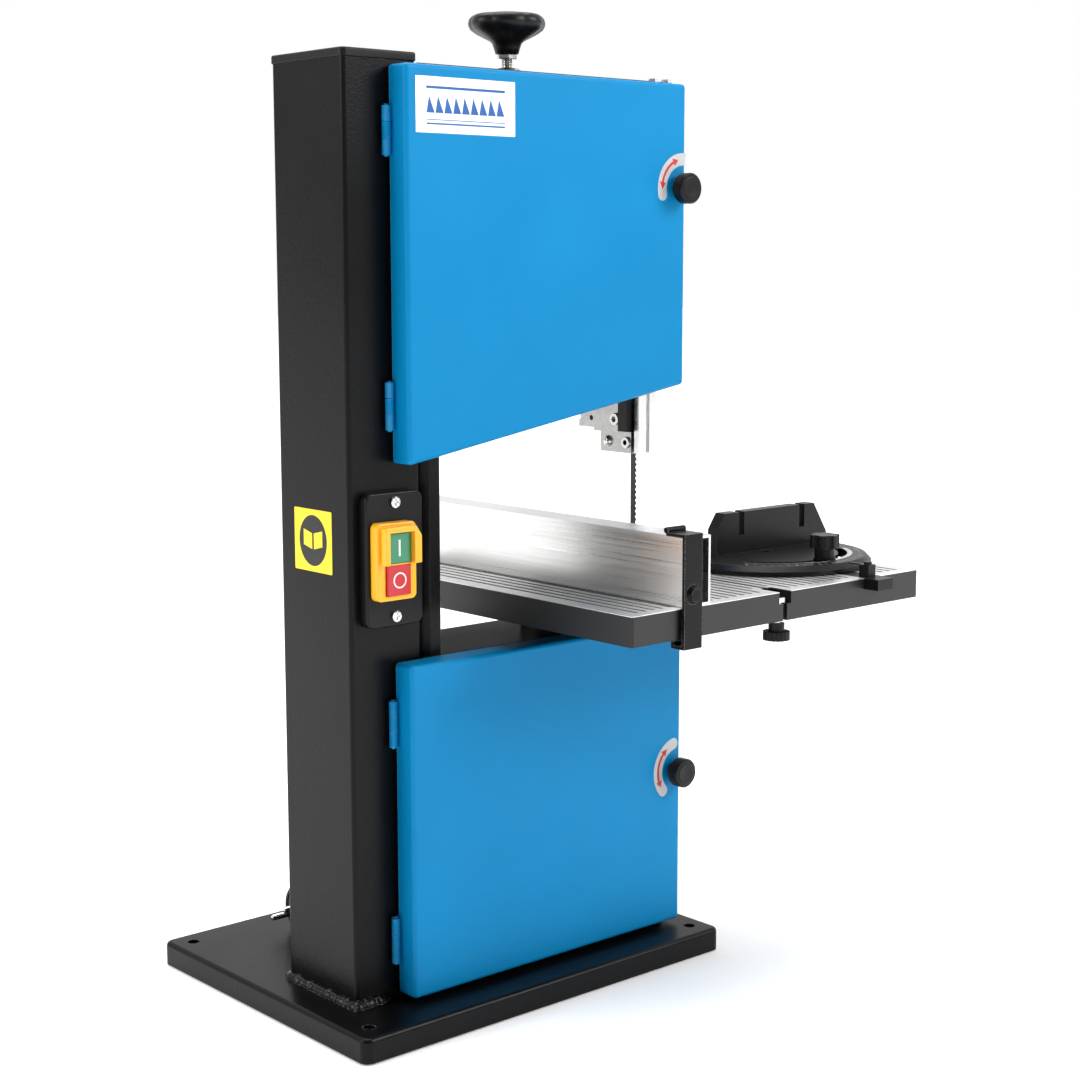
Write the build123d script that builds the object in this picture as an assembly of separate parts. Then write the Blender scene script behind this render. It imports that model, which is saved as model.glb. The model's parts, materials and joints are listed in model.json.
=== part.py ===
from build123d import *
import os
from math import asin, atan2, cos, pi, radians, sin, sqrt, tan

# Benchtop band saw. X runs along the doors and the table's front edge, Y runs from the operator to the
# back, Z is up. The origin is the middle of the four base holes, on the surface that the saw stands on.

# ---------------------------------------------------------------- base and column
base_width = 340.0
base_depth = 260.0
base_height = 18.5
base_sheet = 2.5
base_rim_gap = 1.0
base_corner = 7.0
base_edge = 3.5
hole_spacing_x = 308.0
hole_spacing_y = 224.0
base_hole = 9.0
pad_diameter = 26.0
column_left = -141.0
column_width = 60.0
column_front = -80.0
column_depth = 82.0
column_top = 662.4
column_wall = 3.0
column_corner = 3.0
cap_height = 5.8
cap_lip = 1.0
cap_plug_depth = 12.0
fit_gap = 0.3

# ---------------------------------------------------------------- blade and wheels
blade_length = 1425.0
blade_width = 6.35
blade_thickness = 0.4
blade_back = -66.1
throat = 195.7
wheel_radius = 98.0
tyre_thickness = 2.0
wheel_width = 20.0
rim_thickness = 8.0
web_thickness = 4.0
hub_radius = 20.0
hub_length = 27.0
lower_axis_z = 140.0
shaft_radius = 7.0
axle_radius = 6.0
bearing_outer = 16.0
bearing_width = 10.0
run_gap = 0.05

# ---------------------------------------------------------------- housings and doors
door_width = 259.6
door_left = -105.8
door_front = -101.0
door_flange = 18.0
door_sheet = 1.5
door_corner = 3.0
upper_door_top = 658.9
upper_door_left_height = 264.0
upper_door_right_height = 220.3
lower_door_bottom = 21.9
lower_door_height = 236.3
housing_sheet = 2.0
housing_back = -6.5
housing_inset = 1.4
door_gap = 0.6
housing_rise = 2.5

# ---------------------------------------------------------------- hinges and latches
knuckle_radius = 3.0
hinge_length = 32.0
leaf_sheet = 1.2
hinge_pin = 1.5
upper_hinge_low = 418.3
upper_hinge_high = 600.0
lower_hinge_low = 45.5
lower_hinge_high = 200.0
latch_side = 7.8
upper_latch_z = 583.0
lower_latch_z = 142.0
latch_knob_radius = 11.2
latch_knob_length = 9.0
latch_neck = 5.0
latch_shaft = 3.0
latch_arm = 11.0
catch_sheet = 2.0

# ---------------------------------------------------------------- switch
switch_width = 47.5
switch_height = 92.0
switch_depth = 8.0
switch_low = 285.0
switch_left = -132.9
bezel_width = 33.0
bezel_height = 53.0
bezel_depth = 8.0
bezel_low = 304.3
bezel_offset = 3.4
button_width = 19.5
button_height = 20.8
button_gap = 1.2
button_stand = 2.4
button_travel = 3.0

# ---------------------------------------------------------------- tension and tracking
rod_y = -40.4
rod_radius = 4.0
knob_radius = 28.0
knob_top = 705.0
knob_lobes = 7
carriage_half = 24.0
carriage_plate = 8.0
carriage_front = -34.0
carriage_low = -36.8
carriage_high = 85.2
bracket_wall = 8.0
yoke_half = 12.0
yoke_front = -50.0
yoke_back = -36.0
pin_drop = 15.8
tracking_rise = 15.2
tracking_rod = 3.0
tracking_knob_radius = 15.0

# ---------------------------------------------------------------- blade guide
post_side = 14.0
post_y = -25.0
post_x_shift = -1.5
guide_height = 87.4
post_length = 196.0
guide_bar = 16.0
guide_foot = 25.5
guide_heel = 15.0
guide_half = 7.7
guard_width = 18.0
guard_depth = 5.0
guard_height = 84.0
guide_pin = 3.5
post_bracket_low = 452.0
post_bracket_height = 50.0

# ---------------------------------------------------------------- table
table_side = 300.0
table_front = -224.4
table_top = 298.8
table_rim = 21.0
table_plate = 8.0
table_wall = 8.0
groove_pitch = 8.0
groove_width = 3.0
groove_depth = 1.0
groove_margin = 9.0
insert_radius = 25.0
insert_thickness = 2.5
insert_slot = 1.5
slit_width = 4.0
notch_width = 12.4
notch_depth = 9.0
mitre_slot_width = 17.6
mitre_slot_depth = 8.5
mitre_slot_offset = 96.0
trunnion_radius = 65.0
trunnion_band = 14.0
trunnion_thickness = 8.0
trunnion_y = 8.0
tilt_bolt = 4.0
thumb_y = -216.4
notch_length = 20.0
stop_bolt_x = 60.0
stop_bolt_y = -30.0

# ---------------------------------------------------------------- fence and mitre gauge
fence_left = 30.4
fence_width = 24.1
fence_height = 48.0
fence_wall = 2.0
fence_front = -226.0
fence_overhang = 2.6
strap_width = 17.0
strap_sheet = 2.5
gauge_pivot_y = -120.0
gauge_radius = 80.0
gauge_plate = 7.0
gauge_wall = 10.0
gauge_wall_height = 39.0
gauge_wall_left = 48.0
gauge_wall_right = 79.0
gauge_slot_radius = 58.0
bar_length = 240.0
bar_gap = 0.2
bar_front = -237.0
gauge_lift = 0.5

# ---------------------------------------------------------------- motor, dust port and cord
motor_radius = 56.0
motor_length = 84.0
motor_grooves = 24
motor_bolt_circle = 42.0
fan_cover_length = 34.0
fan_cover_radius = 58.0
dust_outer = 20.0
dust_wall = 2.5
dust_length = 35.0
dust_x = 112.0
dust_z = 62.0
cord_diameter = 7.0
gland_x = -30.0
gland_z = 46.0
gland_length = 22.0
coil_x = 105.0
coil_y = 78.0
coil_radius = 40.0
coil_turns_across = 3
coil_layers = 2
coil_bite = 12.0
plug_radius = 18.5
plug_face_x = -82.0
plug_y = 77.0
plug_length = 47.0
plug_relief = 23.0
pin_length = 19.0
pin_radius = 2.4
pin_spacing = 19.0

# ---------------------------------------------------------------- worked out from the above
column_right = column_left + column_width
column_back = column_front + column_depth
column_mid = (column_left + column_right) / 2
door_right = door_left + door_width
door_back = door_front + door_flange
door_slope = (upper_door_left_height - upper_door_right_height) / door_width
housing_front = door_back + door_gap
housing_left = column_right
housing_right = door_right - housing_inset
lower_door_top = lower_door_bottom + lower_door_height
upper_housing_top = upper_door_top + housing_rise
upper_door_low = upper_door_top - upper_door_left_height
tyre_radius = wheel_radius + tyre_thickness
blade_inner = tyre_radius + fit_gap
table_left = -17.8
blade_x = 132.5
axis_x = blade_x - blade_inner
wheel_y = blade_back - blade_width / 2
wheel_front = wheel_y - wheel_width / 2
wheel_back = wheel_y + wheel_width / 2
wheel_spacing = (blade_length - 2 * pi * (blade_inner + blade_thickness / 2)) / 2
upper_axis_z = lower_axis_z + wheel_spacing
blade_mid = blade_x + blade_thickness / 2
return_x = axis_x - blade_inner
guard_right = blade_x - throat
hinge_x = door_left - knuckle_radius - 0.5
hinge_y = door_back - leaf_sheet
latch_x = door_right - latch_side
button_left = column_mid - 11.8
off_low = bezel_low + 3.6
on_low = off_low + button_height + button_gap
switch_front = column_front - switch_depth
bezel_front = switch_front - bezel_depth
post_x = blade_x + post_x_shift
guide_low = table_top + guide_height
guide_high = guide_low + guide_bar
table_right = table_left + table_side
table_back = table_front + table_side
table_under = table_top - table_plate
rim_under = table_top - table_rim
gauge_x = blade_x + mitre_slot_offset
trunnion_z = table_top - trunnion_radius
fence_right = fence_left + fence_width
fence_low = table_top + fit_gap
fence_top = fence_low + fence_height
fence_back = table_back + fence_overhang
cord_radius = cord_diameter / 2
cord_z = base_height + cord_radius
motor_back = housing_back + motor_length


# ---------------------------------------------------------------- small helpers
def slab(x0, x1, y0, y1, z0, z1):
    return Pos((x0 + x1) / 2, (y0 + y1) / 2, (z0 + z1) / 2) * Box(x1 - x0, y1 - y0, z1 - z0)


def rod_x(y, z, radius, x0, x1):
    return Pos((x0 + x1) / 2, y, z) * Rot(0, 90, 0) * Cylinder(radius, x1 - x0)


def rod_y_axis(x, z, radius, y0, y1):
    return Pos(x, (y0 + y1) / 2, z) * Rot(90, 0, 0) * Cylinder(radius, y1 - y0)


def rod_z(x, y, radius, z0, z1):
    return Pos(x, y, (z0 + z1) / 2) * Cylinder(radius, z1 - z0)


def tube_y(x, z, outer, inner, y0, y1):
    return rod_y_axis(x, z, outer, y0, y1) - rod_y_axis(x, z, inner, y0 - 1, y1 + 1)


def hex_z(x, y, flats, z0, z1):
    return Pos(x, y, z0) * extrude(RegularPolygon(flats / sqrt(3), 6), z1 - z0)


def hex_y(x, z, flats, y0, y1):
    return Pos(x, y0, z) * Rot(-90, 0, 0) * extrude(RegularPolygon(flats / sqrt(3), 6), y1 - y0)


def prism_y(outline, y0, y1):
    face = make_face(Polyline(*[(x, y1, z) for x, z in outline], close=True))
    return extrude(face, y1 - y0, dir=(0, -1, 0))


def prism_z(outline, z0, z1):
    face = make_face(Polyline(*[(x, y, z0) for x, y in outline], close=True))
    return extrude(face, z1 - z0, dir=(0, 0, 1))


def round_upright(solid, radius):
    return fillet(solid.edges().filter_by(Axis.Z), radius)


def save(name, *solids):
    shape = solids[0] if len(solids) == 1 else Compound(children=[s for s in solids])
    shape.label = name
    export_step(shape, "parts/" + name + ".step")


def upper_outline(left, right, top, inset, rise=0.0):
    """Outline with the slanted lower edge, set in on every side."""
    lift = rise + inset * sqrt(1 + door_slope ** 2)

    def low(x):
        return upper_door_low + (x - door_left) * door_slope + lift

    x0, x1 = left + inset, right - inset
    return [(x0, low(x0)), (x1, low(x1)), (x1, top - inset), (x0, top - inset)]


def flat_outline(left, right, low, top, inset):
    return [(left + inset, low + inset), (right - inset, low + inset),
            (right - inset, top - inset), (left + inset, top - inset)]


# ---------------------------------------------------------------- base and column
def base_plate():
    half_w, half_d = base_width / 2, base_depth / 2
    tray = slab(-half_w, half_w, -half_d, half_d, base_rim_gap, base_height)
    tray = round_upright(tray, base_corner)
    tray = fillet(tray.faces().sort_by(Axis.Z)[-1].edges(), base_edge)
    inner_w, inner_d = half_w - base_sheet, half_d - base_sheet
    hollow = slab(-inner_w, inner_w, -inner_d, inner_d, 0, base_height - base_sheet)
    tray = tray - round_upright(hollow, base_corner - base_sheet)
    for x, y in hole_places():
        tray = tray - rod_z(x, y, base_hole / 2, 0, base_height + 1)
    return tray


def hole_places():
    return [(sx * hole_spacing_x / 2, sy * hole_spacing_y / 2) for sx in (-1, 1) for sy in (-1, 1)]


def base_pads():
    top = base_height - base_sheet
    return [rod_z(x, y, pad_diameter / 2, 0, top) - rod_z(x, y, base_hole / 2, -1, top + 1)
            for x, y in hole_places()]


def column():
    outer = slab(column_left, column_right, column_front, column_back, base_height, column_top)
    inner = slab(column_left + column_wall, column_right - column_wall, column_front + column_wall,
                 column_back - column_wall, base_height - 1, column_top + 1)
    return round_upright(outer, column_corner) - inner


def column_cap():
    top = column_top + cap_height
    lid = slab(column_left - cap_lip, column_right + cap_lip, column_front - cap_lip,
               column_back + cap_lip, column_top, top)
    lid = fillet(round_upright(lid, 4).faces().sort_by(Axis.Z)[-1].edges(), 1.5)
    inset = column_wall + fit_gap
    plug = slab(column_left + inset, column_right - inset, column_front + inset, column_back - inset,
                column_top - cap_plug_depth, column_top)
    return lid + plug


def return_guard_outline(inset):
    step = 9.0
    return [(column_right, column_front + 10 + inset), (guard_right - step + inset * 0.4, column_front + 1 + inset),
            (guard_right - inset, column_front + 1 + inset), (guard_right - inset, column_front + 28 - inset),
            (column_right, column_front + 28 - inset)]


def return_blade_guard():
    low, high = lower_door_top, upper_door_top
    shell = prism_z(return_guard_outline(0), low, high) - prism_z(return_guard_outline(1.5), low - 1, high + 1)
    above = upper_outline(column_left, door_right, high + 10, 0, 2.0)
    return shell - prism_y(above, door_front, column_back)


# ---------------------------------------------------------------- housings
def catch_plate(z):
    """Plate with a keyhole slot that the latch arm passes through and turns behind."""
    right = housing_right - housing_sheet
    plate = slab(latch_x - latch_arm - 0.5, right, housing_front + 4, housing_front + 4 + catch_sheet, z - 20, z + 12)
    slot = slab(latch_x - latch_shaft - 1, latch_x + latch_shaft + 1, housing_front, housing_front + 10,
                z - latch_arm - 1.5, z)
    return plate - slot - rod_y_axis(latch_x, z, latch_shaft + 1, housing_front, housing_front + 10)


def return_opening(z0, z1):
    return slab(column_right + 2, guard_right - 1.5, column_front + 3, column_front + 26, z0, z1)


def upper_housing():
    top = upper_housing_top
    shell = prism_y(upper_outline(housing_left, housing_right, top, 0, 2.0), housing_front, housing_back)
    room = prism_y(upper_outline(housing_left, housing_right, top, housing_sheet, 2.0),
                   housing_front - 1, housing_back - housing_sheet)
    low = upper_door_low
    shell = shell - room - return_opening(low - 1, low + 30)
    shell = shell - slab(post_x - 11, housing_right - 2, housing_front - 1, post_y + 11, low, low + 54)
    shell = shell - rod_z(axis_x, rod_y, rod_radius + 0.5, top - 5, top + 5)
    slot_z = upper_axis_z + tracking_rise
    shell = shell - slab(axis_x - 5, axis_x + 5, housing_back - 5, housing_back + 5, slot_z - 14, slot_z + 8)
    knob_z = post_bracket_low + post_bracket_height / 2
    shell = shell - rod_x(post_y, knob_z, rod_radius + 0.5, housing_right - 5, housing_right + 5)
    return shell + catch_plate(upper_latch_z)


def lower_housing():
    outline = flat_outline(housing_left, housing_right, base_height, lower_door_top, 0)
    shell = prism_y(outline, housing_front, housing_back)
    inner = flat_outline(housing_left, housing_right, base_height, lower_door_top, housing_sheet)
    shell = shell - prism_y(inner, housing_front - 1, housing_back - housing_sheet)
    shell = shell - return_opening(lower_door_top - 5, lower_door_top + 5)
    shell = shell - slab(blade_x - 5, blade_x + 14, housing_front - 1, blade_back + 12,
                         lower_door_top - 5, lower_door_top + 5)
    shell = shell - rod_y_axis(axis_x, lower_axis_z, shaft_radius + 5, housing_back - 5, housing_back + 5)
    shell = shell - rod_y_axis(dust_x, dust_z, dust_outer - dust_wall, housing_back - 5, housing_back + 5)
    return shell + catch_plate(lower_latch_z)


# ---------------------------------------------------------------- doors, hinges and latches
def door_shell(outline, inner):
    shell = prism_y(outline, door_front, door_back)
    front = shell.faces().sort_by(Axis.Y)[0]
    shell = fillet(shell.edges().filter_by(Axis.Y) + front.edges(), door_corner)
    return shell - prism_y(inner, door_front + door_sheet, door_back + 1)


def upper_door():
    outer = upper_outline(door_left, door_right, upper_door_top, 0)
    inner = upper_outline(door_left, door_right, upper_door_top, door_sheet)
    shell = door_shell(outer, inner)
    for x in (latch_x - 17, latch_x - 4):
        shell = shell - rod_z(x, door_back - 9, 2.6, upper_door_top - 5, upper_door_top + 5)
    return shell - rod_y_axis(latch_x, upper_latch_z, latch_shaft + 0.3, door_front - 1, door_front + 5)


def lower_door():
    sides = (door_left, door_right, lower_door_bottom, lower_door_top)
    shell = door_shell(flat_outline(*sides, 0), flat_outline(*sides, door_sheet))
    return shell - rod_y_axis(latch_x, lower_latch_z, latch_shaft + 0.3, door_front - 1, door_front + 5)


def door_leaf(low):
    """Leaf inside the door's flange, with the two outer knuckles."""
    inside = door_left + door_sheet
    leaf = slab(inside, inside + leaf_sheet, door_front + 5, hinge_y + 2 * leaf_sheet, low, low + hinge_length)
    middle = slab(hinge_x - 5, inside + 5, hinge_y - 4, hinge_y + 5, low + hinge_length / 3 - fit_gap,
                  low + hinge_length * 2 / 3 + fit_gap)
    bridge = slab(hinge_x, inside + leaf_sheet, hinge_y + leaf_sheet, hinge_y + 2 * leaf_sheet,
                  low, low + hinge_length)
    knuckle = rod_z(hinge_x, hinge_y, knuckle_radius, low, low + hinge_length)
    bore = rod_z(hinge_x, hinge_y, hinge_pin + run_gap, low - 1, low + hinge_length + 1)
    return leaf + (bridge + knuckle - middle) - bore


def frame_leaf(low):
    """Leaf on the column's front, with the middle knuckle and the hinge pin."""
    third = hinge_length / 3
    z0, z1 = low + third, low + 2 * third
    sheet = slab(hinge_x, column_right - 8, column_front - leaf_sheet, column_front, low, low + hinge_length)
    neck = slab(hinge_x, hinge_x + knuckle_radius, hinge_y, column_front, z0, z1)
    knuckle = rod_z(hinge_x, hinge_y, knuckle_radius, z0, z1)
    pin = rod_z(hinge_x, hinge_y, hinge_pin, low - 1, low + hinge_length + 1)
    return sheet + neck + knuckle + pin


def frame_hinge_leaves():
    return [frame_leaf(z) for z in (upper_hinge_low, upper_hinge_high, lower_hinge_low, lower_hinge_high)]


def door_bolts():
    bolts = []
    for x in (latch_x - 17, latch_x - 4):
        y = door_back - 9
        shank = rod_z(x, y, 2.5, upper_door_top - 8, upper_door_top)
        head = hex_z(x, y, 7, upper_door_top, upper_door_top + 3)
        bolts.append(shank + head)
    return bolts


def latch(z):
    knob_back = door_front - latch_neck
    knob = rod_y_axis(latch_x, z, latch_knob_radius, knob_back - latch_knob_length, knob_back)
    knob = chamfer(knob.edges(), 1.0)
    neck = rod_y_axis(latch_x, z, 6, knob_back, door_front - fit_gap)
    tip = housing_front + 4 + catch_sheet + 0.6
    shaft = rod_y_axis(latch_x, z, latch_shaft, door_front - fit_gap, tip + 3)
    arm = slab(latch_x - latch_shaft, latch_x + latch_shaft, tip, tip + 3, z - latch_arm, z)
    return [knob + neck, shaft + arm]


# ---------------------------------------------------------------- switch
def switch_box():
    box = slab(switch_left, switch_left + switch_width, switch_front, column_front, switch_low,
               switch_low + switch_height)
    box = fillet(box.edges().filter_by(Axis.Y), 6)
    box = fillet(box.faces().sort_by(Axis.Y)[0].edges(), 1.5)
    for z in switch_screw_heights():
        box = box - rod_y_axis(switch_left + switch_width / 2, z, 2.2, switch_front - 1, column_front + 1)
    return box


def switch_screw_heights():
    return (switch_low + 7, switch_low + switch_height - 7)


def frame_screws():
    x = switch_left + switch_width / 2
    screws = []
    for z in switch_screw_heights():
        head = rod_y_axis(x, z, 3.8, switch_front - 1.8, switch_front)
        cross = slab(x - 2.2, x + 2.2, switch_front - 3, switch_front - 0.9, z - 0.5, z + 0.5)
        cross = cross + slab(x - 0.5, x + 0.5, switch_front - 3, switch_front - 0.9, z - 2.2, z + 2.2)
        screws.append(head - cross + rod_y_axis(x, z, 2, switch_front, column_front - fit_gap))
    for turn in range(4):
        angle = radians(45 + 90 * turn)
        bx = axis_x + motor_bolt_circle * cos(angle)
        bz = lower_axis_z + motor_bolt_circle * sin(angle)
        y = housing_back - housing_sheet
        screws.append(hex_y(bx, bz, 10, y - 4, y) + rod_y_axis(bx, bz, 3, y - 7, y - 4))
    stop = rod_z(stop_bolt_x, stop_bolt_y, 4, lower_door_top, table_under - 0.4)
    return screws + [stop + hex_z(stop_bolt_x, stop_bolt_y, 13, lower_door_top, lower_door_top + 5)]


def switch_bezel():
    left = button_left - bezel_offset - 3.6
    block = slab(left, left + bezel_width, bezel_front, switch_front, bezel_low, bezel_low + bezel_height)
    block = fillet(block.edges().filter_by(Axis.Y), 4)
    block = fillet(block.faces().sort_by(Axis.Y)[0].edges(), 1.2)
    top = on_low + button_height + fit_gap
    window = slab(button_left - fit_gap, button_left + button_width + fit_gap, bezel_front - 1,
                  switch_front + 1, off_low - fit_gap, top)
    return block - window


def button(low):
    front = bezel_front - button_stand
    body = slab(button_left, button_left + button_width, front, switch_front - button_travel - 0.6, low,
                low + button_height)
    return fillet(body.faces().sort_by(Axis.Y)[0].edges(), 1.0)


# ---------------------------------------------------------------- wheels and blade
def wheel(axis_z, bore):
    rim = tube_y(axis_x, axis_z, wheel_radius, wheel_radius - rim_thickness, wheel_front, wheel_back)
    web = rod_y_axis(axis_x, axis_z, wheel_radius - rim_thickness + 1, wheel_y - web_thickness / 2,
                     wheel_y + web_thickness / 2)
    hub = rod_y_axis(axis_x, axis_z, hub_radius, wheel_front, wheel_front + hub_length)
    body = rim + web + hub
    for turn in range(5):
        angle = radians(90 + 72 * turn)
        body = body - rod_y_axis(axis_x + 57 * cos(angle), axis_z + 57 * sin(angle), 15, -200, 0)
    return body - rod_y_axis(axis_x, axis_z, bore, -200, 0)


def tyre(axis_z):
    return tube_y(axis_x, axis_z, tyre_radius, wheel_radius, wheel_front + 0.5, wheel_back - 0.5)


def upper_bearings():
    starts = (wheel_front, wheel_front + hub_length - bearing_width)
    return [tube_y(axis_x, upper_axis_z, bearing_outer, axle_radius + run_gap, y, y + bearing_width)
            for y in starts]


def upper_axle():
    axle = rod_y_axis(axis_x, upper_axis_z, axle_radius, wheel_front - 8, yoke_back - 1)
    nut = hex_y(axis_x, upper_axis_z, 17, wheel_front - 6.5, wheel_front - 0.6)
    spacer = rod_y_axis(axis_x, upper_axis_z, 9, wheel_front + hub_length + fit_gap, yoke_front)
    return axle + nut + spacer


def motor_shaft():
    shaft = rod_y_axis(axis_x, lower_axis_z, shaft_radius, wheel_front, motor_back - 20)
    washer = rod_y_axis(axis_x, lower_axis_z, 12, wheel_front - 2, wheel_front)
    return [shaft, washer + hex_y(axis_x, lower_axis_z, 13, wheel_front - 7, wheel_front - 2)]


def racetrack(radius, y0, y1):
    ends = rod_y_axis(axis_x, lower_axis_z, radius, y0, y1) + rod_y_axis(axis_x, upper_axis_z, radius, y0, y1)
    return ends + slab(axis_x - radius, axis_x + radius, y0, y1, lower_axis_z, upper_axis_z)


def saw_blade():
    front = blade_back - blade_width
    return racetrack(blade_inner + blade_thickness, front, blade_back) - racetrack(blade_inner, front - 1,
                                                                                  blade_back + 1)


# ---------------------------------------------------------------- tension and tracking
def tension_bracket():
    """Channel on the housing's back wall that guides the wheel carriage."""
    low, high = upper_axis_z + carriage_low - 12, upper_housing_top - housing_sheet - 12
    reach = carriage_half + bracket_wall
    front, back = carriage_front - 4.5, housing_back - housing_sheet
    block = slab(axis_x - reach, axis_x + reach, front, back, low, high)
    gap = fit_gap
    block = block - slab(axis_x - carriage_half - gap, axis_x + carriage_half + gap, carriage_front - gap,
                         carriage_front + carriage_plate + gap, low - 1, high + 1)
    block = block - slab(axis_x - 17.5, axis_x + 17.5, front - 1, carriage_front, low - 1, high + 1)
    block = block - slab(axis_x - 18, axis_x + 18, carriage_front, back - 5, low - 1, high + 1)
    slot_z = upper_axis_z + tracking_rise
    return block - slab(axis_x - 5, axis_x + 5, back - 10, back + 1, slot_z - 14, slot_z + 8)


def wheel_carriage():
    x, z = axis_x, upper_axis_z
    plate = slab(x - carriage_half, x + carriage_half, carriage_front, carriage_front + carriage_plate,
                 z + carriage_low, z + carriage_high)
    lug = slab(x - 14, x + 14, yoke_front, carriage_front, z + carriage_high - 10, z + carriage_high)
    plate = plate + lug - rod_z(x, rod_y, rod_radius + fit_gap, z + carriage_high - 11, z + carriage_high + 1)
    pin_z = z - pin_drop
    for side in (-1, 1):
        inner = x + side * (yoke_half + fit_gap)
        outer = x + side * (yoke_half + 4.3)
        plate = plate + slab(min(inner, outer), max(inner, outer), yoke_front + 3, carriage_front,
                             pin_z - 6, pin_z + 6)
    plate = plate + rod_x(yoke_front + 7, pin_z, 2.5, x - yoke_half - 3, x + yoke_half + 3)
    hole_z = z + tracking_rise
    plate = plate - rod_y_axis(x, hole_z, tracking_rod + run_gap, carriage_front - 1,
                               carriage_front + carriage_plate + 1)
    nut = hex_z(x, rod_y, 12.4, z + 31.2, z + 39.2) - rod_z(x, rod_y, rod_radius + run_gap, z + 31, z + 40)
    return [plate, nut]


def tension_spring():
    base, top = upper_axis_z + 39.2, upper_axis_z + carriage_high - 10
    wire = 1.0
    height = top - base - 2 * wire - 0.4
    turns = 6
    coil = Helix(pitch=height / turns, height=height, radius=rod_radius + 0.3 + wire)
    section = Plane(origin=coil @ 0, z_dir=coil % 0) * Circle(wire)
    return Pos(axis_x, rod_y, base + wire + 0.2) * sweep(section, coil, is_frenet=True)


def tilt_yoke():
    z = upper_axis_z
    block = slab(axis_x - yoke_half, axis_x + yoke_half, yoke_front, yoke_back, z - pin_drop - 7, z + 23)
    block = block - rod_y_axis(axis_x, z, axle_radius, yoke_front - 1, yoke_back + 1)
    return block - rod_x(yoke_front + 7, z - pin_drop, 2.5 + run_gap, axis_x - 20, axis_x + 20)


def tracking_knob():
    z = upper_axis_z + tracking_rise
    rod = rod_y_axis(axis_x, z, tracking_rod, yoke_back + fit_gap, housing_back + 8)
    knob = rod_y_axis(axis_x, z, tracking_knob_radius, housing_back + 8, housing_back + 22)
    for turn in range(8):
        angle = radians(45 * turn)
        reach = tracking_knob_radius + 2
        knob = knob - rod_y_axis(axis_x + reach * cos(angle), z + reach * sin(angle), 4,
                                 housing_back, housing_back + 30)
    return [rod, knob]


def tension_knob():
    low = knob_top - 28
    crown = rod_z(axis_x, rod_y, knob_radius, knob_top - 15, knob_top - 2)
    for turn in range(knob_lobes):
        angle = 2 * pi * turn / knob_lobes
        reach = knob_radius + 5
        crown = crown - rod_z(axis_x + reach * cos(angle), rod_y + reach * sin(angle), 9.5, low, knob_top)
    flare = Pos(axis_x, rod_y, knob_top - 18) * Cone(11, 20, 6)
    hub = rod_z(axis_x, rod_y, 9.5, low, knob_top - 18)
    dome = rod_z(axis_x, rod_y, 12, knob_top - 3, knob_top)
    return crown + flare + hub + dome - rod_z(axis_x, rod_y, rod_radius, low - 1, knob_top - 13)


def tension_rod():
    x, y = axis_x, rod_y
    rod = rod_z(x, y, rod_radius, upper_axis_z + 29, knob_top - 13)
    collar = rod_z(x, y, 10, upper_housing_top + 0.1, upper_housing_top + 5.4)
    nut = hex_z(x, y, 13, knob_top - 31.7, knob_top - 28)
    ring = rod_z(x, y, rod_radius, upper_housing_top - 1, knob_top - 20)
    return [rod, collar - ring, nut - ring]


# ---------------------------------------------------------------- upper blade guide
def guide_post():
    half = post_side / 2
    return slab(post_x - half, post_x + half, post_y - half, post_y + half, guide_high + guide_heel,
                guide_high + post_length)


def guide_post_bracket():
    half = post_side / 2 + 0.15
    low, high = post_bracket_low, post_bracket_low + post_bracket_height
    block = slab(post_x - 16, post_x + 16, post_y - 14, housing_back - housing_sheet, low, high)
    block = block - slab(post_x - half, post_x + half, post_y - half, post_y + half, low - 1, high + 1)
    return block - rod_x(post_y, (low + high) / 2, rod_radius + run_gap, post_x, post_x + 30)


def guide_lock_knob():
    z = post_bracket_low + post_bracket_height / 2
    start = post_x + post_side / 2 + 0.6
    stud = rod_x(post_y, z, rod_radius, start, housing_right + 5)
    knob = rod_x(post_y, z, 17, housing_right + 5, housing_right + 20)
    for turn in range(6):
        angle = radians(60 * turn)
        knob = knob - rod_x(post_y + 20 * cos(angle), z + 20 * sin(angle), 5.5, housing_right, housing_right + 30)
    return [stud, knob]


def guide_body():
    """Steel head: a bar behind the blade, two arms beside it and a block that holds the bearing."""
    left, right = blade_mid - guide_half, blade_mid + guide_half
    low, high = guide_low, guide_high
    arm_front, arm_back = blade_back - 8, blade_back + 4
    bar = slab(left, right, arm_back, blade_back + guide_foot, low, high)
    arms = slab(left, blade_mid - 1.2, arm_front, arm_back, low, high)
    arms = arms + slab(blade_mid + 1.2, right, arm_front, arm_back, low, high)
    block = slab(left, right, blade_back + 4.5, post_y - post_side / 2 - 1, high - 1, high + 23)
    heel = slab(left, right, blade_back + guide_foot - 8, post_y + 9, high + 1.4, high + guide_heel)
    body = bar + arms + block + heel
    for step in (-5, 9):
        body = body - rod_x(post_y + step, high + guide_heel / 2 + 1, 2, left - 1, left + 4)
    body = body - slab(blade_mid - 3.3, blade_mid + 3.3, blade_back + 4, blade_back + 19, high, high + 24)
    body = body - rod_x(wheel_y, low + 8, guide_pin, left - 5, right + 5)
    return body - rod_x(blade_back + 8.5, high + 9, 2.5, left - 5, right + 5)


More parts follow.
